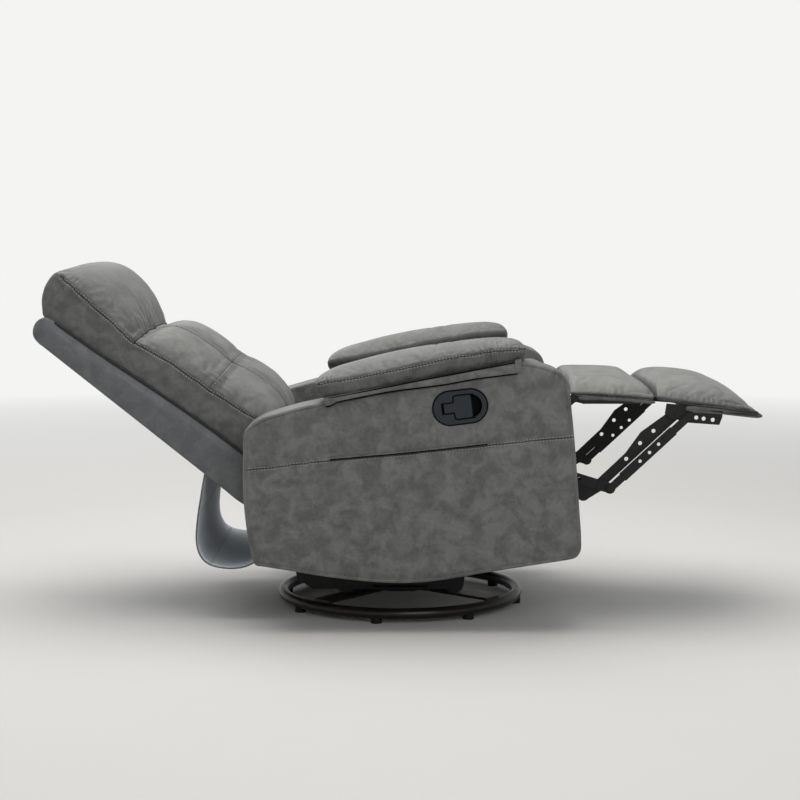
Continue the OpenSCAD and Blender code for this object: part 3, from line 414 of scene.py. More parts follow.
def normals(obj):
    no = np.empty(len(obj.data.vertices) * 3, np.float32)
    obj.data.vertex_normals.foreach_get("vector", no)
    return no.reshape(-1, 3).astype(float)


def put(obj, co):
    obj.data.vertices.foreach_set("co", np.ascontiguousarray(co).ravel())
    obj.data.update()


def surface(obj):
    """A piece's surface, for finding the point of it nearest to another."""
    return BVHTree.FromPolygons([v.co for v in obj.data.vertices], [p.vertices[:] for p in obj.data.polygons])


def drape(obj, path):
    """The path's points, in millimetres, laid on the piece's surface, in metres."""
    tree = surface(obj)
    return [tree.find_nearest(Vector(p) * MM)[0] for p in path]


def distance_to(co, path):
    """Distance of each point from a path in metres, and how far along the path it lies. Points that are more
    than 0.09 from it on every side are left at a far 9."""
    track, run = open_curve(path, 2.5 * MM)
    near, at = np.full(len(co), 9.0), np.zeros(len(co))
    low, high = track.min(0) - 0.09, track.max(0) + 0.09
    index = np.nonzero(np.all((co > low) & (co < high), axis=1))[0]
    some = co[index]
    n, a = near[index], at[index]
    for p, s in zip(track, run):
        d = np.linalg.norm(some - p, axis=1)
        closer = d < n
        n[closer], a[closer] = d[closer], s
    near[index], at[index] = n, a
    return near, at


def remesh(obj, voxel):
    mod = obj.modifiers.new("Even", "REMESH")
    mod.mode, mod.voxel_size = "VOXEL", voxel * MM
    apply_modifiers(obj)


def subdivide(obj):
    mod = obj.modifiers.new("Fine", "SUBSURF")
    mod.levels = mod.render_levels = 1
    apply_modifiers(obj)
    obj.data.polygons.foreach_set("use_smooth", [True] * len(obj.data.polygons))


def thicken(obj, thickness, even=False):
    """Gives cloth its thickness, half of it to each side."""
    mod = obj.modifiers.new("Cloth", "SOLIDIFY")
    mod.thickness, mod.offset, mod.use_even_offset = thickness * MM, 0.0, even
    apply_modifiers(obj)


def relax(bm):
    """Evens out the surface."""
    for _ in range(3):
        bmesh.ops.smooth_vert(bm, verts=bm.verts, factor=0.5, use_axis_x=True, use_axis_y=True, use_axis_z=True)


# Padded pieces. They are made in a frame of their own, x along the outline and z up, and laid in place when done.

def round_ends(start, end, radius, half_width):
    """The share of a pad's width at a place along it, where its ends are rounded in plan."""
    def share(x):
        near = min(max(0.0, min(x - start, end - x)), radius)
        return (half_width - radius + math.sqrt(radius ** 2 - (radius - near) ** 2)) / half_width
    return share


def pillow(name, outline, half_width, seam, body, full, voxel, steep=2.0, under=None, plan=None):
    """The form that a cushion is blown up from. Above its side seam it arches from side to side, as full and
    steep say, and below it is boxed, or arches too where under gives how full and steep. plan gives the share
    of its width at a place along it."""
    bm = slab(rounded(outline), -half_width, half_width)
    cut(bm, (0, 1, 0), [half_width * MM * math.sin(math.radians(a)) for a in range(-86, 90, 4)])
    for v in bm.verts:
        t = min(1.0, abs(v.co.y) / (half_width * MM))
        s = seam(v.co.x / MM) * MM
        if v.co.z > s:
            v.co.z = s + (v.co.z - s) * (1 - t ** full) ** (1 / steep)
        elif under:
            v.co.z = s - (s - v.co.z) * (1 - t ** under[0]) ** (1 / under[1])
        if plan:
            v.co.y *= plan(v.co.x / MM)
    obj = made(name, bm, pad_leather(), body, "pad_leather")
    remesh(obj, voxel)
    edit(obj, relax)
    return obj


def press(obj, path, width, depth, gather=0.0, wave=14.0, reach=26.0, seed=1, where=None):
    """Sinks a seam along a path on the surface, and puckers the leather beside it. where limits the
    puckers to parts of the path, as a function of the share run. Sizes are in millimetres."""
    co, no = coords(obj), normals(obj)
    near, at = distance_to(co, drape(obj, path))
    sink = depth * MM * np.exp(-(near / (width * MM)) ** 2)
    fold = np.zeros_like(sink)
    if gather:
        turn = at / (wave * MM) * 2 * np.pi + 2.6 * wander(at, seed)
        level = 0.55 + 0.45 * wander(at, seed + 7)
        fold = gather * MM * np.sin(turn) * level * np.exp(-near / (reach * MM))
        fold *= 1 - 0.75 * np.exp(-(near / (width * 2 * MM)) ** 2)
        if where:
            fold *= where(at / max(at.max(), 1e-6))
    put(obj, co - no * (sink - fold)[:, None])


def press_each(obj, paths, width, depth, seed=1, **folds):
    """Presses like seams, each with puckers of its own."""
    for k, path in enumerate(paths):
        press(obj, path, width, depth, seed=seed + k, **folds)


def dimple(obj, at, radius, depth):
    """Pulls the surface in round a point."""
    co, no = coords(obj), normals(obj)
    at = np.array(drape(obj, [at])[0])
    near = np.linalg.norm(co - at, axis=1) / (radius * MM)
    put(obj, co - no * (depth * MM * np.exp(-near ** 2))[:, None])


def sewn_down(obj, paths, reach, rest):
    """How firmly each point is held: 1 on a seam, falling off over reach, and 1 where rest says."""
    co = coords(obj)
    held = np.zeros(len(co))
    for path in paths:
        near, _ = distance_to(co, drape(obj, path))
        held = np.maximum(held, np.clip(1.6 - near / (reach * MM), 0, 1))
    return np.maximum(held, rest(co))


def swell(obj, paths, reach, rest, most, shrink=3.0):
    """Blows a cushion up as cloth, held near the paths and where it rests. It starts smaller by shrink, and no
    point moves further than most, all in millimetres."""
    stuffing = bpy.context.scene.reclining_stuffing
    fixed = sewn_down(obj, paths, reach, rest)
    start = coords(obj)
    start -= normals(obj) * (shrink * MM * (1 - fixed))[:, None]
    put(obj, start)
    group = obj.vertex_groups.new(name="sewn")
    for level in np.unique(np.round(fixed, 1)):
        if level > 0:
            group.add([int(i) for i in np.nonzero(np.round(fixed, 1) == level)[0]], float(level), "REPLACE")
    mod = obj.modifiers.new("Stuffing", "CLOTH")
    cloth = mod.settings
    cloth.quality = 4
    cloth.mass = 0.25
    cloth.tension_stiffness = cloth.compression_stiffness = 12
    cloth.shear_stiffness = 5
    cloth.bending_stiffness = 0.4
    cloth.use_pressure = True
    cloth.uniform_pressure_force = stuffing.pressure
    cloth.vertex_group_mass = group.name
    cloth.pin_stiffness = 1.0
    cloth.shrink_min = -stuffing.slack
    cloth.effector_weights.gravity = 0
    mod.collision_settings.use_collision = False
    mod.point_cache.frame_start, mod.point_cache.frame_end = 1, stuffing.frames
    scene = bpy.context.scene
    for f in range(1, stuffing.frames + 1):
        scene.frame_set(f)
    moved = obj.evaluated_get(bpy.context.evaluated_depsgraph_get()).data
    end = np.empty(len(moved.vertices) * 3)
    moved.vertices.foreach_get("co", end)
    step = end.reshape(-1, 3) - start
    far = np.linalg.norm(step, axis=1)
    obj.modifiers.clear()
    obj.vertex_groups.clear()
    put(obj, start + step * np.minimum(1, most * MM / np.maximum(far, 1e-9))[:, None])
    scene.frame_set(1)
    print(f"{obj.name}: {len(far)} points, moved up to {far.max() / MM:.1f} mm, {np.mean(far) / MM:.1f} on average")


def mark_pull_and_top_light(obj, paths, reach, level, facing, share=None):
    """Marks how far the leather is pulled over its stuffing, from 0 at a seam to level at reach from one, and keeps
    the mark only where it faces up, as a painted highlight from the light above: facing gives where that starts and
    over how much it grows. share weights it by place."""
    co, no = coords(obj), normals(obj)
    far = np.full(len(co), 1.0)
    for path in paths:
        near, _ = distance_to(co, drape(obj, path))
        far = np.minimum(far, near / (reach * MM))
    pull_and_top_mask = np.clip(far, 0, 1) ** 0.8 * level * rise(no[:, 2], *facing)
    if share:
        pull_and_top_mask *= share(co)
    layer = obj.data.attributes.new("pull_and_top_light", "FLOAT", "POINT")
    layer.data.foreach_set("value", pull_and_top_mask.astype(np.float32))


# Sewing

def sew(name, obj, path, body, offsets=None):
    """Rows of stitches beside a path on a piece's surface, in metres. The rows' offsets are in millimetres."""
    sewing = bpy.context.scene.reclining_sewing
    offsets = [o * MM for o in offsets] if offsets else (-sewing.rows, sewing.rows)
    tree = surface(obj)
    track, _ = open_curve(path, sewing.stitch + sewing.space)
    bm = bmesh.new()
    for a, b in zip(track, track[1:]):
        a, b = Vector(a), Vector(b)
        spot, out, _, _ = tree.find_nearest((a + b) / 2)
        along = (b - a).normalized()
        side = out.cross(along).normalized()
        for offset in offsets:
            at, up, _, _ = tree.find_nearest(spot + side * offset)
            across = up.cross(along).normalized()
            turn = Matrix((along, across, along.cross(across))).transposed().to_4x4()
            size = Matrix.Diagonal((sewing.stitch / 2, sewing.thread / 2, sewing.thread / 2, 1))
            place = Matrix.Translation(at + up * sewing.thread * 0.12) @ turn @ size
            bmesh.ops.create_icosphere(bm, subdivisions=1, radius=1.0, matrix=place)
    return made(name, bm, thread(), body, obj["slot_name"])


def cord_along(name, path, radius, material, body, slot, closed=False, step=6.0):
    """A round cord sewn into a seam, or a dark cord of painted shade along an open one, as a mesh. All sizes are in
    millimetres.
    """
    pts = [tuple(p) for p in path]
    track, _ = open_curve([np.array(p) * MM for p in (pts + pts[:1] if closed else pts)], step * MM)
    curve = bpy.data.curves.new(name, "CURVE")
    curve.dimensions = "3D"
    curve.bevel_depth, curve.bevel_resolution = radius * MM, 3
    curve.use_fill_caps = not closed
    spline = curve.splines.new("POLY")
    if closed:
        track = track[:-1]
    spline.points.add(len(track) - 1)
    for point, p in zip(spline.points, track):
        point.co = (*p, 1)
    spline.use_cyclic_u = closed
    holder = bpy.data.objects.new(name, curve)
    bpy.context.collection.objects.link(holder)
    mesh = bpy.data.meshes.new_from_object(holder.evaluated_get(bpy.context.evaluated_depsgraph_get()))
    bpy.data.objects.remove(holder)
    bm = bmesh.new()
    bm.from_mesh(mesh)
    bmesh.ops.recalc_face_normals(bm, faces=bm.faces)
    return made(name, bm, material, body, slot)


def seam_shadow_line(name, obj, path, body, radius):
    """A dark cord of painted shade in the groove where two pieces of leather meet, along a path on a piece's surface.
    """
    track, _ = open_curve(path, 5)
    laid = [np.array(p) / MM for p in drape(obj, track)]
    return cord_along(name, laid, radius, seam_shadow(), body, obj["slot_name"], step=4.0)


def seam_shadow_lines(name, obj, paths, body, radius):
    return [seam_shadow_line(name + letter, obj, path, body, radius) for letter, path in zip("ab", paths)]


def sew_lines(name, obj, paths, body, offsets=None):
    return [sew(name + letter, obj, drape(obj, path), body, offsets) for letter, path in zip("ab", paths)]


# Finishes

def plug(tree, socket, value):
    """Sets a shader node's input to a value, or links another node's output to it."""
    if isinstance(value, bpy.types.NodeSocket):
        tree.links.new(value, socket)
    else:
        socket.default_value = value


def add(tree, kind, inputs=None, **settings):
    """Adds a shader node. An input is a value, or another node's output."""
    node = tree.nodes.new(kind)
    for key, value in settings.items():
        setattr(node, key, value)
    for key, value in (inputs or {}).items():
        plug(tree, node.inputs[key], value)
    return node


def noise_at(tree, where, scale, detail, rough, twist=0.0):
    return add(tree, "ShaderNodeTexNoise", {"Vector": where, "Scale": scale, "Detail": detail,
               "Roughness": rough, "Distortion": twist}).outputs["Fac"]


def sharpen(tree, value, low, high):
    return add(tree, "ShaderNodeMapRange", {"Value": value, "From Min": low, "From Max": high}).outputs["Result"]


def mix(tree, share, a, b):
    """A colour between two. A colour mix has its factor and colours at inputs 0, 6 and 7, and its result at 2."""
    return add(tree, "ShaderNodeMix", {0: share, 6: a, 7: b}, data_type="RGBA").outputs[2]


def maths(tree, how, a, b):
    return add(tree, "ShaderNodeMath", {0: a, 1: b}, operation=how).outputs[0]


def weighted(tree, *pairs):
    """The sum of values, each times its weight."""
    total = None
    for value, weight in pairs:
        part = maths(tree, "MULTIPLY", value, weight)
        total = maths(tree, "ADD", total, part) if total else part
    return total


def shader_group(name, inputs, build):
    """A shared effect with named inputs, that gives a colour, a roughness and a height. It is built once."""
    if name in bpy.data.node_groups:
        return bpy.data.node_groups[name]
    tree = bpy.data.node_groups.new(name, "ShaderNodeTree")
    for label, value in inputs.items():
        kind = "NodeSocketFloat" if isinstance(value, float) else "NodeSocketColor"
        tree.interface.new_socket(name=label, in_out="INPUT", socket_type=kind).default_value = value
    for label, kind in (("Color", "NodeSocketColor"), ("Roughness", "NodeSocketFloat"), ("Height", "NodeSocketFloat")):
        tree.interface.new_socket(name=label, in_out="OUTPUT", socket_type=kind)
    start, end = tree.nodes.new("NodeGroupInput"), tree.nodes.new("NodeGroupOutput")
    for socket, value in zip(end.inputs, build(tree, start.outputs)):
        tree.links.new(value, socket)
    return tree


def aged_leather():
    """Mottled, lightly pebbled leather that pales where its mark says: where it is pulled over its stuffing, and as a
    painted highlight on its up-facing tops.
    """
    def build(tree, given):
        where = add(tree, "ShaderNodeTexCoord").outputs["Object"]
        cloud = noise_at(tree, where, given["Patches"], 4.0, 0.6, 0.5)
        fleck = noise_at(tree, where, maths(tree, "MULTIPLY", given["Patches"], 4.3), 6.0, 0.65, 0.3)
        tiny = noise_at(tree, where, given["Pebbles"], 2.0, 0.5)
        soft = noise_at(tree, where, maths(tree, "MULTIPLY", given["Patches"], 9.0), 4.0, 0.6)
        share = weighted(tree, (sharpen(tree, cloud, 0.40, 0.61), 0.66), (sharpen(tree, fleck, 0.34, 0.66), 0.34))
        tone = mix(tree, share, given["Dark"], given["Light"])
        uneven = maths(tree, "ADD", maths(tree, "MULTIPLY", share, 0.55), 0.45)
        # paler where pulled over the stuffing, and a painted highlight on up-facing tops
        tone = mix(tree, maths(tree, "MULTIPLY", given["Pull and top light"], uneven), tone, given["Pulled, top-lit"])
        pebble = add(tree, "ShaderNodeTexVoronoi", {"Vector": where, "Scale": given["Pebbles"]}).outputs["Distance"]
        crease = sharpen(tree, pebble, 0.2, 0.75)
        tone = mix(tree, maths(tree, "MULTIPLY", crease, 0.16), tone, (0.02, 0.02, 0.02, 1))
        gloss = maths(tree, "ADD", 0.40, weighted(tree, (share, 0.10), (tiny, 0.16)))
        return tone, gloss, weighted(tree, (soft, 0.9), (tiny, 0.25), (crease, -0.35))
    return shader_group("Aged leather", {
        "Dark": (0.1, 0.1, 0.1, 1), "Light": (0.2, 0.2, 0.2, 1), "Pulled, top-lit": (0.3, 0.3, 0.3, 1),
        "Pull and top light": 0.0, "Patches": 14.0, "Pebbles": 600.0}, build)


def speckled():
    """A fine uneven surface, for coats, plastic, thread, felt and wood."""
    def build(tree, given):
        where = add(tree, "ShaderNodeTexCoord").outputs["Object"]
        drawn = add(tree, "ShaderNodeCombineXYZ", {"X": 1.0, "Z": 1.0, "Y": given["Along"]}).outputs[0]
        scaled = add(tree, "ShaderNodeVectorMath", {0: where, 1: drawn}, operation="MULTIPLY").outputs[0]
        grain = noise_at(tree, scaled, given["Grain"], 3.0, 0.6)
        cloud = noise_at(tree, scaled, maths(tree, "MULTIPLY", given["Grain"], 0.06), 4.0, 0.6, 0.4)
        share = weighted(tree, (sharpen(tree, cloud, 0.3, 0.7), 0.6), (sharpen(tree, grain, 0.35, 0.65), 0.4))
        gloss = maths(tree, "ADD", given["Gloss"], maths(tree, "MULTIPLY", share, 0.14))
        return mix(tree, share, given["Dark"], given["Light"]), gloss, grain
    return shader_group("Speckled surface", {
        "Dark": (0.1, 0.1, 0.1, 1), "Light": (0.2, 0.2, 0.2, 1), "Grain": 600.0, "Along": 1.0, "Gloss": 0.4}, build)


def material(name, group, values, bump, depth, pull_and_top_light=False, deep=None, **sockets):
    """A finish from a shared effect, whose bumps are depth millimetres high. The painted recess shade is given as two
    places from side to side, between which the colour turns black, as shade falls inside a cup. sockets are set on the
    shader itself."""
    if name in bpy.data.materials:
        return bpy.data.materials[name]
    mat = bpy.data.materials.new(name)
    mat.use_nodes = True
    tree = mat.node_tree
    shader = tree.nodes["Principled BSDF"]
    effect = add(tree, "ShaderNodeGroup", node_tree=group)
    for key, value in values.items():
        effect.inputs[key].default_value = value
    # the mark read here is part pulled leather, part painted highlight on up-facing tops
    if pull_and_top_light:
        pull_and_top_mask = add(tree, "ShaderNodeAttribute", attribute_name="pull_and_top_light")
        tree.links.new(pull_and_top_mask.outputs["Fac"], effect.inputs["Pull and top light"])
    raised = add(tree, "ShaderNodeBump", {"Strength": bump, "Distance": depth * MM, "Height": effect.outputs["Height"]})
    colour, rough = effect.outputs["Color"], effect.outputs["Roughness"]
    # painted shade: black colour and a rougher finish inside the cup behind the bezel's face
    if deep:
        where = add(tree, "ShaderNodeTexCoord").outputs["Object"]
        across = add(tree, "ShaderNodeSeparateXYZ", {0: where}).outputs["Y"]
        shade = sharpen(tree, across, deep[0] * MM, deep[1] * MM)
        colour = mix(tree, shade, colour, (0.005, 0.006, 0.007, 1))
        rough = maths(tree, "ADD", rough, maths(tree, "MULTIPLY", shade, 0.4))
    tree.links.new(colour, shader.inputs["Base Color"])
    tree.links.new(rough, shader.inputs["Roughness"])
    tree.links.new(raised.outputs["Normal"], shader.inputs["Normal"])
    for key, value in sockets.items():
        shader.inputs[key.replace("_", " ")].default_value = value
    return mat


def leather(name, dark, light):
    looks = bpy.context.scene.reclining_leather
    return material(name, aged_leather(), {"Dark": dark, "Light": light, "Pulled, top-lit": looks.pull_and_top_light,
                    "Patches": looks.patch, "Pebbles": looks.grain}, 0.55, 1.1, pull_and_top_light=True,
                    Specular_IOR_Level=0.5, Sheen_Weight=0.12, Sheen_Roughness=0.5)


def arm_leather():
    looks = bpy.context.scene.reclining_leather
    return leather("Arm leather", looks.arm_dark, looks.arm_light)


def pad_leather():
    looks = bpy.context.scene.reclining_leather
    return leather("Cushion leather", looks.pad_dark, looks.pad_light)


def shell_leather():
    looks = bpy.context.scene.reclining_leather
    return leather("Outer back leather", looks.shell_dark, looks.shell_light)


def plain(name, dark, light, grain, gloss, bump=0.3, depth=0.3, along=1.0, **sockets):
    """A speckled finish. grain is specks per metre, and along is the share of them from side to side."""
    return material(name, speckled(), {"Dark": (*dark, 1), "Light": (*light, 1), "Grain": grain, "Gloss": gloss,
                    "Along": along}, bump, depth, **sockets)


def black_steel():
    return plain("Black powder coat", (0.006, 0.006, 0.006), (0.019, 0.019, 0.018), 900, 0.46, 0.35, 0.25,
                 Specular_IOR_Level=0.22)


def bronze_steel():
    return plain("Bronze-black coat", (0.0065, 0.0048, 0.0036), (0.019, 0.014, 0.0105), 700, 0.24, 0.06, 0.1,
                 Metallic=0.3, Specular_IOR_Level=0.35, Coat_Weight=0.18, Coat_Roughness=0.14)


def spring_steel():
    return plain("Spring steel", (0.10, 0.10, 0.10), (0.24, 0.235, 0.23), 400, 0.32, 0.3, 0.2, Metallic=0.95)


def moulded():
    face = -(ARM_OUT + 2.4)  # where the bezel's face lies, in front of its cup
    # the cup behind the bezel's face gets painted shade
    return plain("Moulded plastic", (0.0155, 0.019, 0.023), (0.026, 0.031, 0.036), 1400, 0.42, 0.45, 0.3,
                 deep=(face, face + 1.4), Specular_IOR_Level=0.22)


def glide_plastic():
    return plain("Glide plastic", (0.004, 0.004, 0.004), (0.011, 0.011, 0.010), 800, 0.5, 0.3, 0.3,
                 Specular_IOR_Level=0.2)


def lining():
    return plain("Lining felt", (0.52, 0.57, 0.63), (0.70, 0.75, 0.80), 1100, 0.82, 0.7, 0.6,
                 Sheen_Weight=0.3, Sheen_Roughness=0.4)


def frame_wood():
    return plain("Frame wood", (0.36, 0.24, 0.13), (0.62, 0.46, 0.28), 300, 0.55, 0.3, 0.3, along=0.06)


def board_cloth():
    return plain("Board cloth", (0.016, 0.016, 0.016), (0.045, 0.045, 0.044), 1500, 0.7, 0.6, 0.5)


def seam_shadow():
    # painted shade: near-black leather for cords laid in seams and crevices where shade falls
    return plain("Painted seam shadow", (0.010, 0.010, 0.010), (0.026, 0.026, 0.025), 1500, 0.75)


def gap_shadow():
    # painted shadow: a near-black finish for cords laid in gaps and slits where shade falls
    return plain("Painted gap shadow", (0.002, 0.002, 0.002), (0.005, 0.005, 0.005), 1500, 0.8, Specular_IOR_Level=0.08)


def thread():
    tone = bpy.context.scene.reclining_sewing.tone
    return plain("Thread", [c * 0.8 for c in tone[:3]], tone[:3], 2500, 0.6, 0.5, 0.2)


# The pieces

class RECLINER_OT_arms(Operator):
    """Covers both arms in leather, with a rolled rim, a top-stitched seam and a pocket"""
    bl_idname = "recliner.arms"
    bl_label = "Arms"

    def cover(self, side, word):
        """One arm's cover, made on the sitter's left and mirrored for the right."""
        steps = corner(5, ARM_IN, 3, -1)[::-1] + corner(6.5, ARM_OUT) + [(7.7, ARM_OUT - 1.5), (9.0, ARM_OUT)]
        bm = rolled(rounded(ARM_OUTLINE, 3), lambda p: steps)
        outer = [f for f in bm.faces if all(v.co.y > (ARM_OUT - 0.01) * MM for v in f.verts)]
        face = max(outer, key=lambda f: f.calc_area())
        face.material_index = 1
        rim = np.array([v.co.xz for v in face.verts])
        onward = np.roll(rim, -1, 0) - rim
        seam = height_of(ARM_SEAM)
        # close cuts along the seam, which climbs by about five degrees through x 20, z 383
        square = (-0.0855, 0, 0.9963)
        middle = 383 * square[2] + 20 * square[0]
        cut(bm, square, [(middle + 1.5 * k) * MM for k in range(-18, 19)], faces=1)
        cut(bm, (1, 0, 0), [x * MM for x in range(-310, 375, 18)], faces=1)
        cut(bm, (0, 0, 1), [z * MM for z in range(118, 570, 18)], faces=1)
        for v in {v for f in bm.faces if f.material_index == 1 for v in f.verts}:
            off = np.array(v.co.xz) - rim
            share = np.clip(np.sum(off * onward, axis=1) / np.sum(onward ** 2, axis=1), 0, 1)
            edge = float(np.linalg.norm(off - onward * share[:, None], axis=1).min())
            if edge < 0.2 * MM:
                continue
            # stuffed inside the rim, drawn in towards the seam, and sewn down in it
            above = v.co.z / MM - seam(v.co.x / MM)
            v.co.y += 3.2 * MM * (1 - math.exp(-edge / (38 * MM)))
            v.co.y -= 2.6 * MM * math.exp(-(above / 15) ** 2) * (1 - math.exp(-edge / (12 * MM)))
            v.co.y -= 1.6 * MM * math.exp(-(above / 2.2) ** 2)
        for f in bm.faces:
            f.material_index = 0
        bmesh.ops.remove_doubles(bm, verts=bm.verts, dist=0.02 * MM)
        if side < 0:
            mirror(bm)
        obj = made("arm_cover_" + word, bm, arm_leather(), "chassis", "arm_leather")
        if side < 0:
            self.cut_hole(obj)
        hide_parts("arm_" + word, "arm_inner_panels")
        return obj

    def cut_hole(self, obj):
        """The oval hole that the handle's cup sits in."""
        bm = slab(stadium(22, 29.4, 9), 0, 60)
        place = Matrix.Translation((HANDLE_AT[0] * MM, -(ARM_OUT + 12) * MM, HANDLE_AT[1] * MM))
        bmesh.ops.transform(bm, matrix=place @ Matrix.Rotation(-HANDLE_TILT, 4, "Y"), verts=bm.verts)
        mesh = bpy.data.meshes.new("hole")
        bm.to_mesh(mesh)
        bm.free()
        cutter = bpy.data.objects.new("hole", mesh)
        bpy.context.collection.objects.link(cutter)
        mod = obj.modifiers.new("Hole", "BOOLEAN")
        mod.operation, mod.solver, mod.object = "DIFFERENCE", "EXACT", cutter
        apply_modifiers(obj)
        bpy.data.objects.remove(cutter)

    def line_bezel(self):
        """Near-black cords of painted shadow in the gaps where the leather is tucked in round the handle's bezel, and
        round the paddle in it.
        """
        turn = Matrix.Rotation(-HANDLE_TILT, 4, "Y")
        paddle = PADDLE_LINE + [(x, -z) for x, z in reversed(PADDLE_LINE)]
        for name, line, radius, out, closed in (("bezel_shadow", stadium(21.5, 34.5 + 0.9, 15), 1.8, 2.9, True),
                                                ("paddle_gap", paddle, 1.7, 3.2, False)):
            laid = [turn @ Vector((x, 0, z)) for x, z in line]
            cord_along(name, [(HANDLE_AT[0] + p.x, -(ARM_OUT + out), HANDLE_AT[1] + p.z) for p in laid], radius,
                       gap_shadow(), "chassis", "arm_leather", closed=closed, step=2.5)

    def execute(self, context):
        height = height_of(ARM_SEAM)
        for side, word in SIDES:
            obj = self.cover(side, word)
            seam = [(x, side * ARM_OUT, height(x)) for x in np.linspace(-319, 363, 36)]
            # a dark cord of painted shade in the arm's seam
            seam_shadow_line("arm_seam_" + word, obj, seam, "chassis", 0.7)
            sew("arm_seam_stitches_" + word, obj, [Vector(p) * MM for p in seam], "chassis", (-3.4, 3.4))
            # the slit is a near-black cord of painted shadow in the pocket's opening, under a leather lip
            for name, look, start, end, out, up in (("pocket_slit_shadow_", gap_shadow, -146, 182, 2.0, 3.0),
                                                    ("pocket_lip_", arm_leather, -148, 184, 2.4, 5.6)):
                line = [(x, side * (ARM_OUT + out), height(x) + up) for x in np.linspace(start, end, 20)]
                cord_along(name + word, line, 1.5, look(), "chassis", "arm_leather")
        self.line_bezel()
        return {"FINISHED"}


class RECLINER_OT_arm_pads(Operator):
    """Blows up the padded arm tops and sews their sides"""
    bl_idname = "recliner.arm_pads"
    bl_label = "Arm pads"

    def execute(self, context):
        seam = height_of(ARM_PAD_SEAM)
        plan = round_ends(-180, 263, 19, ARM_PAD_HALF)
        pad = pillow("arm_pad_cover_left", ARM_PAD_OUTLINE, ARM_PAD_HALF, seam, "chassis", full=3.4, voxel=4.4,
                     under=(4.5, 1.8), plan=plan)
        xs = np.concatenate([np.linspace(-176, -148, 5), np.linspace(-118, 226, 11), np.linspace(240, 260, 5)])
        outer = [(x, ARM_PAD_HALF * plan(x), seam(x)) for x in xs]
        lines = both_sides(outer)
        swell(pad, lines, 8, lies_below((-178, -150, 85, 243, 260), (498, 500, 546, 576, 579)), 5, shrink=2.5)
        subdivide(pad)
        press(pad, outer, 2.6, 2.4, gather=4.2, wave=9.5, reach=17, seed=5,
              where=lambda s: 0.12 + rise(s, 0.70, 0.12) + 0.6 * rise(-s, -0.12, 0.12))
        # paler where pulled over the stuffing, with a painted highlight where it faces up
        mark_pull_and_top_light(pad, lines, 50, 0.55, (-0.25, 1.0))
        pad.data.transform(Matrix.Translation((0, ARM_PAD_AT * MM, 0)))
        other = bpy.data.objects.new("arm_pad_cover_right", pad.data.copy())
        context.collection.objects.link(other)
        edit(other, mirror)
        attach(other, "chassis")
        other["slot_name"] = "pad_leather"
        for obj, (side, word) in zip((pad, other), SIDES):
            line = [(x, side * (ARM_PAD_AT + ARM_PAD_HALF * plan(x)), seam(x)) for x in xs]
            # a dark cord of painted shade in the pad's side seam
            seam_shadow_line("arm_pad_seam_shadow_" + word, obj, line, "chassis", 0.7)
            sew("arm_pad_stitches_" + word, obj, drape(obj, line), "chassis", (-2.6, 2.6))
            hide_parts("arm_pad_" + word)
        return {"FINISHED"}


class RECLINER_OT_arm_strips(Operator):
    """Hangs the leather strips under the arm pads, folded at their ends"""
    bl_idname = "recliner.arm_strips"
    bl_label = "Arm strips"

    def execute(self, context):
        line = []
        for a, b in zip(STRIP_OUTLINE, STRIP_OUTLINE[1:] + STRIP_OUTLINE[:1]):
            count = max(1, int(math.hypot(b[0] - a[0], b[1] - a[1]) / 8))
            line += [(a[0] + (b[0] - a[0]) * k / count, a[1] + (b[1] - a[1]) * k / count) for k in range(count)]

        def section(p):
            """Flares and waves a little towards the strip's lower edge."""
            drop = max(0.0, (np.interp(p[0], (-163, 250), (503, 578)) - p[1])) / 24
            wave = 0.8 * math.sin(p[0] / 31.0) + 0.5 * math.sin(p[0] / 13.0 + 1.0)
            out = 375.6 + drop * (8.2 + wave)
            return [(1.0, out), (0, out + 0.8), (0, out + 2.2), (1.0, out + 3.0)]

        for side, word in SIDES:
            bm = rolled(line, section)
            tab = slab(STRIP_TAB, 0, 3.4)
            bmesh.ops.bevel(tab, geom=tab.edges[:], offset=1.2 * MM, segments=3, profile=0.5, affect="EDGES",
                            material=-1)
            bmesh.ops.translate(tab, vec=(0, 381.6 * MM, 0), verts=tab.verts)
            if side < 0:
                mirror(bm)
                mirror(tab)
            strip = made("arm_strip_cover_" + word, bm, arm_leather(), "chassis", "arm_leather")
            # a near-black cord of painted shadow under the strip's lower edge
            edge = [(x, side * 378.0, z - 1.2) for x, z in STRIP_OUTLINE[2:14]]
            cord_along("arm_strip_shadow_" + word, edge, 2.6, gap_shadow(), "chassis", "arm_leather")
            # a near-black cord of painted shade where the strip runs in under the pad
            tucked = [(x, side * 379.4, z) for x, z in PAD_TUCK_SHADOW]
            cord_along("arm_pad_tuck_shadow_" + word, tucked, 1.6, gap_shadow(), "chassis", "arm_leather")
            made("arm_strip_fold_" + word, tab, arm_leather(), "chassis", "arm_leather")
            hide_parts("arm_pad_strips")
        return {"FINISHED"}


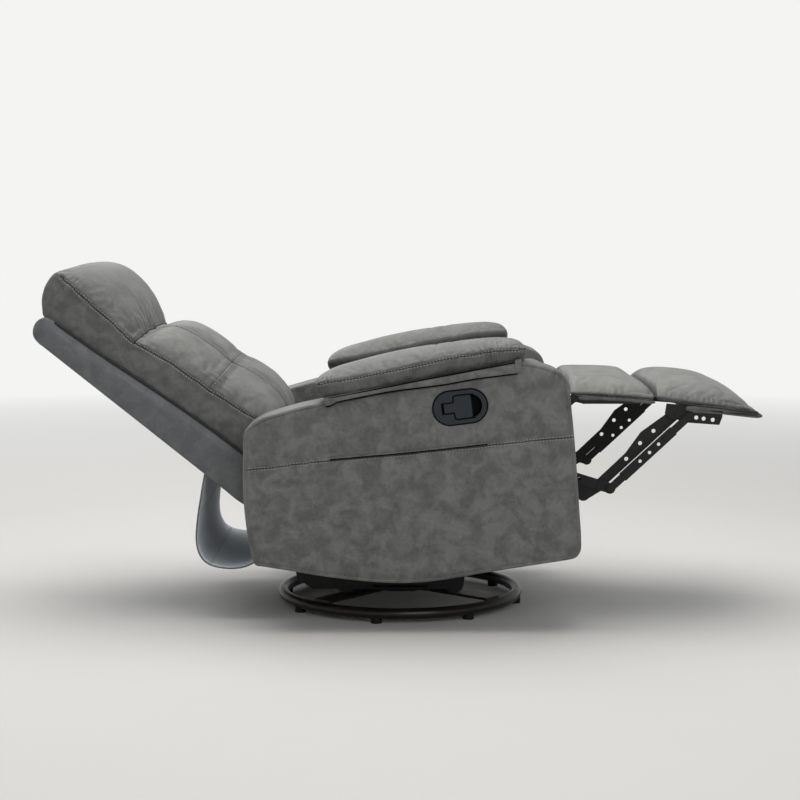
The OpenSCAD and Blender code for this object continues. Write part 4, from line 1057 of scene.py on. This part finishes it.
class RECLINER_OT_back_cushion(Operator):
    """Blows up the headrest roll and the lumbar cushion, with their seams and pulled points"""
    bl_idname = "recliner.back_cushion"
    bl_label = "Back cushion"

    def execute(self, context):
        seam = height_of(CUSHION_SEAM)
        obj = pillow("back_cushion_cover", CUSHION_OUTLINE, CUSHION_HALF, seam, "back", full=3.0, steep=1.9, voxel=7.0)
        co = coords(obj)
        end, foot = rise(co[:, 0] / MM, 545, 85), rise(-co[:, 0] / MM, -60, 60)
        co[:, 1] *= 1 - 0.055 * end ** 2 - 0.03 * foot ** 2
        put(obj, co)
        sides = both_sides([(u, 241, seam(u)) for u in np.linspace(30, 600, 24)])
        long_seams = both_sides([(u, LONG_SEAM_AT, n) for u, n in LONG_SEAM])
        cross = [(203, y, n) for y, n in CROSS_SEAM]
        crease = [(389, y, 138 - 22 * abs(y / 243) ** 3) for y in np.linspace(-241, 241, 15)]
        press_each(obj, long_seams, 14, 3)
        press(obj, cross, 16, 1.5)
        for y in (-LONG_SEAM_AT, LONG_SEAM_AT):
            dimple(obj, (203, y, 203), 30, 5)
        lines = sides + long_seams + [cross, crease]
        swell(obj, lines, 11, lies_below((0, 60, 575, 640), (79, 71, 39, 55)), 7)
        subdivide(obj)
        press_each(obj, sides, 2.8, 3.0, gather=1.3, wave=13, reach=15, seed=11,
                   where=lambda s: 0.15 + 1.3 * bell(s, 0.30, 0.05) + 1.6 * bell(s, 0.07, 0.07)
                   + 1.5 * bell(s, 0.63, 0.05) + 2.8 * bell(s, 1.0, 0.09))
        press_each(obj, long_seams, 3.0, 2.4, gather=1.0, wave=16, reach=18, seed=21,
                   where=lambda s: 0.3 + 1.2 * bell(s, 0.5, 0.1))
        press(obj, cross, 3.0, 1.2, gather=0.9, wave=15, reach=20, seed=31)
        press(obj, crease, 6, 3, gather=2.4, wave=21, reach=42, seed=41)
        # paler where pulled over the stuffing, with a painted highlight where it faces up, weighted along the back
        # cushion
        mark_pull_and_top_light(obj, lines, 70, 0.5, (-0.1, 0.8), lambda co: (co[:, 2] / MM > 100)
                * np.interp(co[:, 0] / MM, (384, 386, 470, 570), (1.25, 0.6, 0.45, 0.0)))
        # dark cords of painted shade in the seams and in the crease between headrest and lumbar
        rows = seam_shadow_lines("back_side_seam_shadow_", obj, sides, "back", 1.0)
        rows += seam_shadow_lines("back_long_seam_shadow_", obj, long_seams, "back", 0.6)
        rows.append(seam_shadow_line("back_cross_seam_shadow", obj, cross, "back", 0.6))
        rows.append(seam_shadow_line("back_crease_shadow", obj, crease, "back", 1.8))
        rows += sew_lines("back_side_stitches_", obj, sides, "back")
        rows += sew_lines("back_long_stitches_", obj, long_seams, "back", (3.0,))
        rows.append(sew("back_cross_stitches", obj, drape(obj, cross), "back", (3.0,)))
        lay(rows + [obj], back_matrix())
        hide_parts("back_cushion", "headrest_cushion")
        return {"FINISHED"}


class RECLINER_OT_back_shell(Operator):
    """Covers the outer back, soft along its front edge and crisp along its rear one"""
    bl_idname = "recliner.back_shell"
    bl_label = "Outer back"

    def execute(self, context):
        def section(p):
            """Rounds the edge more towards the front and less towards the ends."""
            soft = np.interp(p[1], (-13, 5, 30, 60), (3, 5, 14, 16))
            soft = float(soft * np.interp(p[0], (-26, 30, 530, 560), (0.4, 1, 1, 0.45)))
            ends = corner(soft, SHELL_HALF) + [(soft + 2, SHELL_HALF)]
            return [(i, -y) for i, y in ends[::-1]] + ends

        bm = rolled(rounded(SHELL_OUTLINE), section)
        for face in [f for f in bm.faces if len(f.verts) > 4]:
            if all(abs(v.co.y) > (SHELL_HALF - 0.1) * MM for v in face.verts):
                face.material_index = 1
        cut(bm, (1, 0, 0), [u * MM for u in range(0, 575, 25)], faces=1)
        cut(bm, (0, 0, 1), [n * MM for n in range(-5, 75, 14)], faces=1)
        for f in bm.faces:
            if f.material_index == 1:
                for v in f.verts:
                    u, n = v.co.x / MM, v.co.z / MM
                    top = np.interp(u, (-10, 30, 154, 291, 426, 556, 580), (70, 76, 73, 64, 52, 44, 22))
                    share = min(1, max(0, (n + 13) / (top + 13)))
                    v.co.y = math.copysign((SHELL_HALF + 2.6 * (4 * share * (1 - share)) ** 0.5) * MM, v.co.y)
                f.material_index = 0
        cut(bm, (0, 1, 0), [y * MM for y in range(-225, 226, 25)])
        for v in bm.verts:
            if v.co.z < -12.5 * MM:
                u, y = v.co.x / MM, v.co.y / MM
                crown = 2.4 * math.cos(math.pi * min(1, abs(y) / 245) / 2)
                v.co.z -= (crown + 0.5 * math.sin(u / 57) * math.sin(y / 83)) * MM
        obj = made("back_shell_cover", bm, shell_leather(), "back", "shell_leather")
        # dark cords of painted shadow in the crevice between the back cushion and the outer back
        crevice_shadows = [cord_along("back_shell_crevice_shadow_" + letter, [(u, y, n) for u, n in SHELL_CREVICE_SHADOW], 2.6, seam_shadow(), "back",
                            "shell_leather") for letter, y in (("a", 243.4), ("b", -243.4))]
        lay([obj] + crevice_shadows, back_matrix())
        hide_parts("back_shell")
        return {"FINISHED"}


class RECLINER_OT_seat_cushion(Operator):
    """Blows up the seat cushion and sews its edges"""
    bl_idname = "recliner.seat_cushion"
    bl_label = "Seat cushion"

    def execute(self, context):
        seam = height_of([(-450, 92), (-400, 98), (-200, 106), (0, 104), (40, 98), (70, 88)])
        obj = pillow("seat_cushion_cover", SEAT_OUTLINE, SEAT_HALF, seam, "seat", full=5.0, voxel=8.0)
        sides = both_sides([(x, SEAT_HALF - 1, seam(x)) for x in np.linspace(-440, 56, 16)])
        front = [(-12, y, 129) for y in np.linspace(-215, 215, 9)]
        press(obj, front, 12, 4)
        lines = sides + [front]
        swell(obj, lines, 11, lies_below((0, 1), (4, 4)), 7)
        subdivide(obj)
        press_each(obj, sides, 3.4, 2.4, gather=1.2, wave=22, reach=24, seed=51)
        press(obj, front, 3.2, 2.2, gather=0.8, wave=24, reach=20, seed=61)
        # paler where pulled over the stuffing, with a painted highlight where it faces up
        mark_pull_and_top_light(obj, lines, 80, 0.9, (-0.1, 0.8))
        rows = sew_lines("seat_side_stitches_", obj, sides, "seat")
        rows.append(sew("seat_front_stitches", obj, drape(obj, front), "seat"))
        lay(rows + [obj], tilted_matrix(SEAT_AT, SEAT_SLOPE))
        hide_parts("seat_cushion")
        return {"FINISHED"}


class RECLINER_OT_leg_pads(Operator):
    """Blows up the leg pad and the foot pad, and puckers the seams along their sides"""
    bl_idname = "recliner.leg_pads"
    bl_label = "Leg and foot pads"

    def sole(self, name, outline, half_width, body):
        """The thin leather under a pad, as wide as half_width says at each place along it."""
        def section(p):
            y = half_width(p[0])
            return corner(2.5, -y, 3, -1)[::-1] + corner(2.5, y, 3)
        return made(name, rolled(rounded(outline, 3), section), pad_leather(), body, "pad_leather")

    def leg_pad(self):
        seam = height_of([(360, 496.5), (430, 493.5), (500, 489), (550, 485)])
        leg = pillow("leg_pad_cover", LEG_OUTLINE, LEG_HALF, seam, "leg_rest", full=4.0, voxel=4.8)
        sides = both_sides([(x, LEG_HALF - 1, seam(x)) for x in np.linspace(370, 547, 10)])
        rim = [(549, y, 486) for y in np.linspace(-240, 240, 12)]
        swell(leg, sides + [rim], 9, lies_below((366, 500, 545), (492, 487, 484)), 5, shrink=2.5)
        subdivide(leg)
        press_each(leg, sides, 2.4, 1.6, gather=1.4, wave=13, reach=13, seed=71,
                   where=lambda s: 0.25 + 1.4 * bell(s, 0.5, 0.22))
        press(leg, rim, 2.6, 1.4, gather=1.4, wave=19, reach=16, seed=75)
        # paler where pulled over the stuffing, with a painted highlight where it faces up
        mark_pull_and_top_light(leg, sides + [rim], 45, 1.0, (0.2, 0.6))
        # dark cords of painted shade in the side seams
        seam_shadow_lines("leg_side_seam_shadow_", leg, sides, "leg_rest", 1.0)
        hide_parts("leg_pad")

    def foot_pad(self):
        seam = height_of([(20, 12), (40, 9.5), (120, 4.5), (190, 3), (240, 1.5), (273, 0)])

        def toe_in(x):
            """The share of the pad's width that is left towards its toe."""
            return 1 - 0.05 * min(1.0, max(0.0, (x - 205) / 68)) ** 2

        foot = pillow("foot_pad_cover", FOOT_OUTLINE, LEG_HALF, seam, "ottoman", full=3.8, voxel=5.0, plan=toe_in)
        sides = both_sides([(x, (LEG_HALF - 1) * toe_in(x), seam(x)) for x in np.linspace(42, 257, 13)])
        toe = [(260, y, 0) for y in np.linspace(-230, 230, 12)]
        swell(foot, sides + [toe], 9, lies_below((40, 120, 240), (7, 3, 0)), 5, shrink=2.5)
        subdivide(foot)
        press_each(foot, sides, 2.4, 1.8, gather=3.4, wave=11.5, reach=8.5, seed=81,
                   where=lambda s: 0.15 + rise(-s, -0.8, 0.2))
        press(foot, toe, 2.8, 1.4, gather=1.1, wave=19, reach=14, seed=85)
        # paler where pulled over the stuffing, with a painted highlight where it faces up
        mark_pull_and_top_light(foot, sides + [toe], 50, 1.0, (-0.05, 0.8))
        pieces = [foot, self.sole("foot_sole", SOLE_OUTLINE, lambda x: LEG_HALF * toe_in(x), "ottoman")]
        # dark cords of painted shade just below the side seams
        for letter, line in zip("ab", sides):
            below = [(x, y, z - 3.0) for x, y, z in line]
            pieces.append(cord_along("foot_side_seam_shadow_" + letter, below, 1.9, seam_shadow(), "ottoman", "pad_leather"))
        lay(pieces, tilted_matrix(FOOT_AT, FOOT_TILT))
        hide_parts("foot_pad")

    def execute(self, context):
        self.leg_pad()
        self.foot_pad()
        self.sole("leg_sole", LEG_SOLE_OUTLINE, lambda x: LEG_HALF - 2, "leg_rest")
        return {"FINISHED"}


class RECLINER_OT_rear_flap(Operator):
    """Hangs the lined flap behind the seat, in three lengths"""
    bl_idname = "recliner.rear_flap"
    bl_label = "Rear flap"

    def hang(self, part, track, above, start, end):
        """One length of the flap, along its track and riding on no body. above, start and end are not used."""
        bm = ribbon(track, FLAP_HALF, 24)
        inside = Vector((-330, 0, 260)) * MM
        faces = bm.faces[:]
        bmesh.ops.recalc_face_normals(bm, faces=faces)
        if sum((inside - f.calc_center_median()).dot(f.normal) * f.calc_area() for f in faces) > 0:
            bmesh.ops.reverse_faces(bm, faces=faces)
        obj = made("flap_cover_" + part, bm, shell_leather(), None, "shell_leather")
        obj.data.materials.append(lining())
        thicken(obj, 3.6, even=True)
        for face in obj.data.polygons:
            inside.y = face.center.y
            face.material_index = int(abs(face.normal.y) < 0.5 and (inside - face.center).dot(face.normal) > 0)
        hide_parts("flap_" + part)
        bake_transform(obj)

    def execute(self, context):
        track, _ = open_curve(FLAP_PATH, 6)
        one, two = (int(np.argmin(np.linalg.norm(track - np.array(p), axis=1))) for p in FLAP_FOLDS)
        self.hang("upper", track[:one + 1], "back", (-420, 0, 324), (-427, 0, 296))
        self.hang("middle", track[one:two + 1], "flap_upper", (-441, 0, 196), (-422, 0, 131))
        self.hang("lower", track[two:], "flap_middle", (-388, 0, 117), (-344, 0, 119))
        return {"FINISHED"}


class RECLINER_OT_crevice(Operator):
    """Closes the gap between the seat cushion and the back cushion with a fold of leather"""
    bl_idname = "recliner.crevice"
    bl_label = "Crevice panel"

    def execute(self, context):
        track, run = open_curve(CREVICE_PATH, 8)
        bm = ribbon(track, CREVICE_HALF, 38)
        for v in bm.verts:
            y = v.co.y / MM
            v.co.z += (1.6 * math.sin(y / 29) + 1.1 * math.sin(y / 13 + 2)) * MM
        bmesh.ops.recalc_face_normals(bm, faces=bm.faces)
        obj = made("crevice_panel", bm, pad_leather(), None, "pad_leather")
        thicken(obj, 1.6)
        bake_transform(obj)
        return {"FINISHED"}


class RECLINER_OT_finishes(Operator):
    """Gives the steel, wood, plastic and board nodes their finishes"""
    bl_idname = "recliner.finishes"
    bl_label = "Finishes"

    def execute(self, context):
        looks = {
            bronze_steel: ("base_ring", "base_cross_arms"),
            black_steel: ("bearing_lower_race", "bearing_upper_race", "swivel_plate", "glider_ears",
                          "swing_links_front", "swing_links_rear", "glider_plate_left", "glider_plate_right",
                          "chassis_tubes", "mechanism_rail_left", "mechanism_rail_right",
                          "carrier_links_front", "carrier_links_rear", "seat_plate_left", "seat_plate_right",
                          "back_brackets", "leg_hinge_arms", "footrest_main_links", "footrest_drive_tube",
                          "footrest_control_links", "footrest_upper_links", "footrest_lower_links", "footrest_brackets",
                          "swivel_rivets", "chassis_rivets", "seat_rivets", "elbow_rivets", "toe_rivets"),
            spring_steel: ("seat_springs",),
            frame_wood: ("rear_rail", "seat_side_rails", "seat_cross_rails", "back_frame"),
            moulded: ("handle_bezel", "handle_paddle"),
            glide_plastic: ("floor_pads",),
            board_cloth: ("foot_board",),
            pad_leather: ("leg_board",),
            shell_leather: ("flap_bead",),
        }
        for finish, names in looks.items():
            for name in names:
                for slot in NODES[name].material_slots:
                    slot.material = finish()
        return {"FINISHED"}


class RECLINER_OT_stage(Operator):
    """Sets the floor, the lamps and the camera"""
    bl_idname = "recliner.stage"
    bl_label = "Stage"

    def execute(self, context):
        stage, scene = context.scene.reclining_stage, context.scene
        bm = bmesh.new()
        bmesh.ops.create_grid(bm, x_segments=4, y_segments=4, size=30.0)
        mesh = bpy.data.meshes.new("floor")
        bm.to_mesh(mesh)
        bm.free()
        floor = bpy.data.objects.new("floor", mesh)
        context.collection.objects.link(floor)
        mat = bpy.data.materials.new("Studio floor")
        mat.use_nodes = True
        tree = mat.node_tree
        shader = tree.nodes["Principled BSDF"]
        shader.inputs["Roughness"].default_value = 0.75
        shader.inputs["Specular IOR Level"].default_value = 0.2
        where = add(tree, "ShaderNodeTexCoord").outputs["Object"]
        speck = noise_at(tree, where, 9.0, 5.0, 0.6)
        tone = mix(tree, maths(tree, "MULTIPLY", speck, 0.06), stage.floor, (0.4, 0.39, 0.37, 1))
        tree.links.new(tone, shader.inputs["Base Color"])
        far = add(tree, "ShaderNodeVectorMath", {0: where}, operation="LENGTH").outputs["Value"]
        glow = add(tree, "ShaderNodeEmission", {"Color": stage.wall, "Strength": 1.0})
        blend = add(tree, "ShaderNodeMixShader", {"Fac": sharpen(tree, far, 1.7, 5.5)})
        tree.links.new(shader.outputs[0], blend.inputs[1])
        tree.links.new(glow.outputs[0], blend.inputs[2])
        tree.links.new(blend.outputs[0], tree.nodes["Material Output"].inputs["Surface"])
        mesh.materials.append(mat)

        world = bpy.data.worlds.new("Studio")
        scene.world = world
        world.use_nodes = True
        tree = world.node_tree
        air = tree.nodes["Background"]
        air.inputs["Color"].default_value = (0.96, 0.98, 1.0, 1)
        air.inputs["Strength"].default_value = stage.air
        wall = add(tree, "ShaderNodeBackground", {"Color": stage.wall, "Strength": 1.0})
        path = add(tree, "ShaderNodeLightPath")
        seen = maths(tree, "MAXIMUM", path.outputs["Is Camera Ray"], path.outputs["Is Transmission Ray"])
        both = add(tree, "ShaderNodeMixShader", {"Fac": seen})
        tree.links.new(air.outputs[0], both.inputs[1])
        tree.links.new(wall.outputs[0], both.inputs[2])
        tree.links.new(both.outputs[0], tree.nodes["World Output"].inputs["Surface"])

        lamps = (("top lamp", (-0.2, 0.1, 3.1), (0.0, 0.0, 0.4), 3.2, stage.top_lamp, (1.0, 0.985, 0.955)),
                 ("front lamp", (1.3, -4.3, 2.2), (0.0, 0.0, 0.35), 2.4, stage.front_lamp, (0.95, 0.98, 1.0)),
                 ("rear lamp", (-1.4, 3.4, 2.4), (-0.2, 0.0, 0.4), 2.2, stage.front_lamp * 0.6, (1.0, 1.0, 1.0)))
        for name, at, aim, size, power, tone in lamps:
            data = bpy.data.lights.new(name, "AREA")
            data.shape, data.size, data.energy, data.color = "SQUARE", size, power, tone
            lamp = bpy.data.objects.new(name, data)
            lamp.location = at
            lamp.rotation_euler = (Vector(aim) - Vector(at)).to_track_quat("-Z", "Y").to_euler()
            context.collection.objects.link(lamp)

        data = bpy.data.cameras.new("camera")
        data.lens, data.sensor_width, data.clip_end = stage.lens, 36.0, 100.0
        camera = bpy.data.objects.new("camera", data)
        camera.location = (0, -stage.camera_distance, stage.camera_height)
        camera.rotation_euler = (math.radians(90) - stage.camera_pitch, 0, 0)
        context.collection.objects.link(camera)
        scene.camera = camera
        scene.view_settings.view_transform = "Standard"
        return {"FINISHED"}


class RECLINER_PT_panel(Panel):
    """Lists the recliner's pieces in the sidebar"""
    bl_label = "Recliner"
    bl_idname = "RECLINER_PT_panel"
    bl_space_type = "VIEW_3D"
    bl_region_type = "UI"
    bl_category = "Recliner"

    def draw(self, context):
        for group_name in GROUPS:
            group, box = getattr(context.scene, group_name), self.layout.box()
            for name in group.bl_rna.properties.keys():
                if name not in ("rna_type", "name"):
                    box.prop(group, name)
        for operator in OPERATORS:
            self.layout.operator(operator.bl_idname)


OPERATORS = (RECLINER_OT_stage, RECLINER_OT_finishes, RECLINER_OT_arms, RECLINER_OT_arm_pads,
             RECLINER_OT_arm_strips, RECLINER_OT_back_cushion, RECLINER_OT_back_shell,
             RECLINER_OT_seat_cushion, RECLINER_OT_leg_pads, RECLINER_OT_rear_flap, RECLINER_OT_crevice)
GROUPS = {"reclining_leather": RecliningLeather, "reclining_sewing": RecliningSewing,
          "reclining_stuffing": RecliningStuffing, "reclining_stage": RecliningStage}


def register():
    for cls in (*GROUPS.values(), *OPERATORS, RECLINER_PT_panel):
        bpy.utils.register_class(cls)
    for name, group in GROUPS.items():
        setattr(bpy.types.Scene, name, PointerProperty(type=group))


def unregister():
    for name in GROUPS:
        delattr(bpy.types.Scene, name)
    for cls in (RECLINER_PT_panel, *reversed(OPERATORS), *reversed(list(GROUPS.values()))):
        bpy.utils.unregister_class(cls)


def main():
    register()
    for operator in OPERATORS:
        family, name = operator.bl_idname.split(".")
        getattr(getattr(bpy.ops, family), name)()


if __name__ == "__main__":
    main()
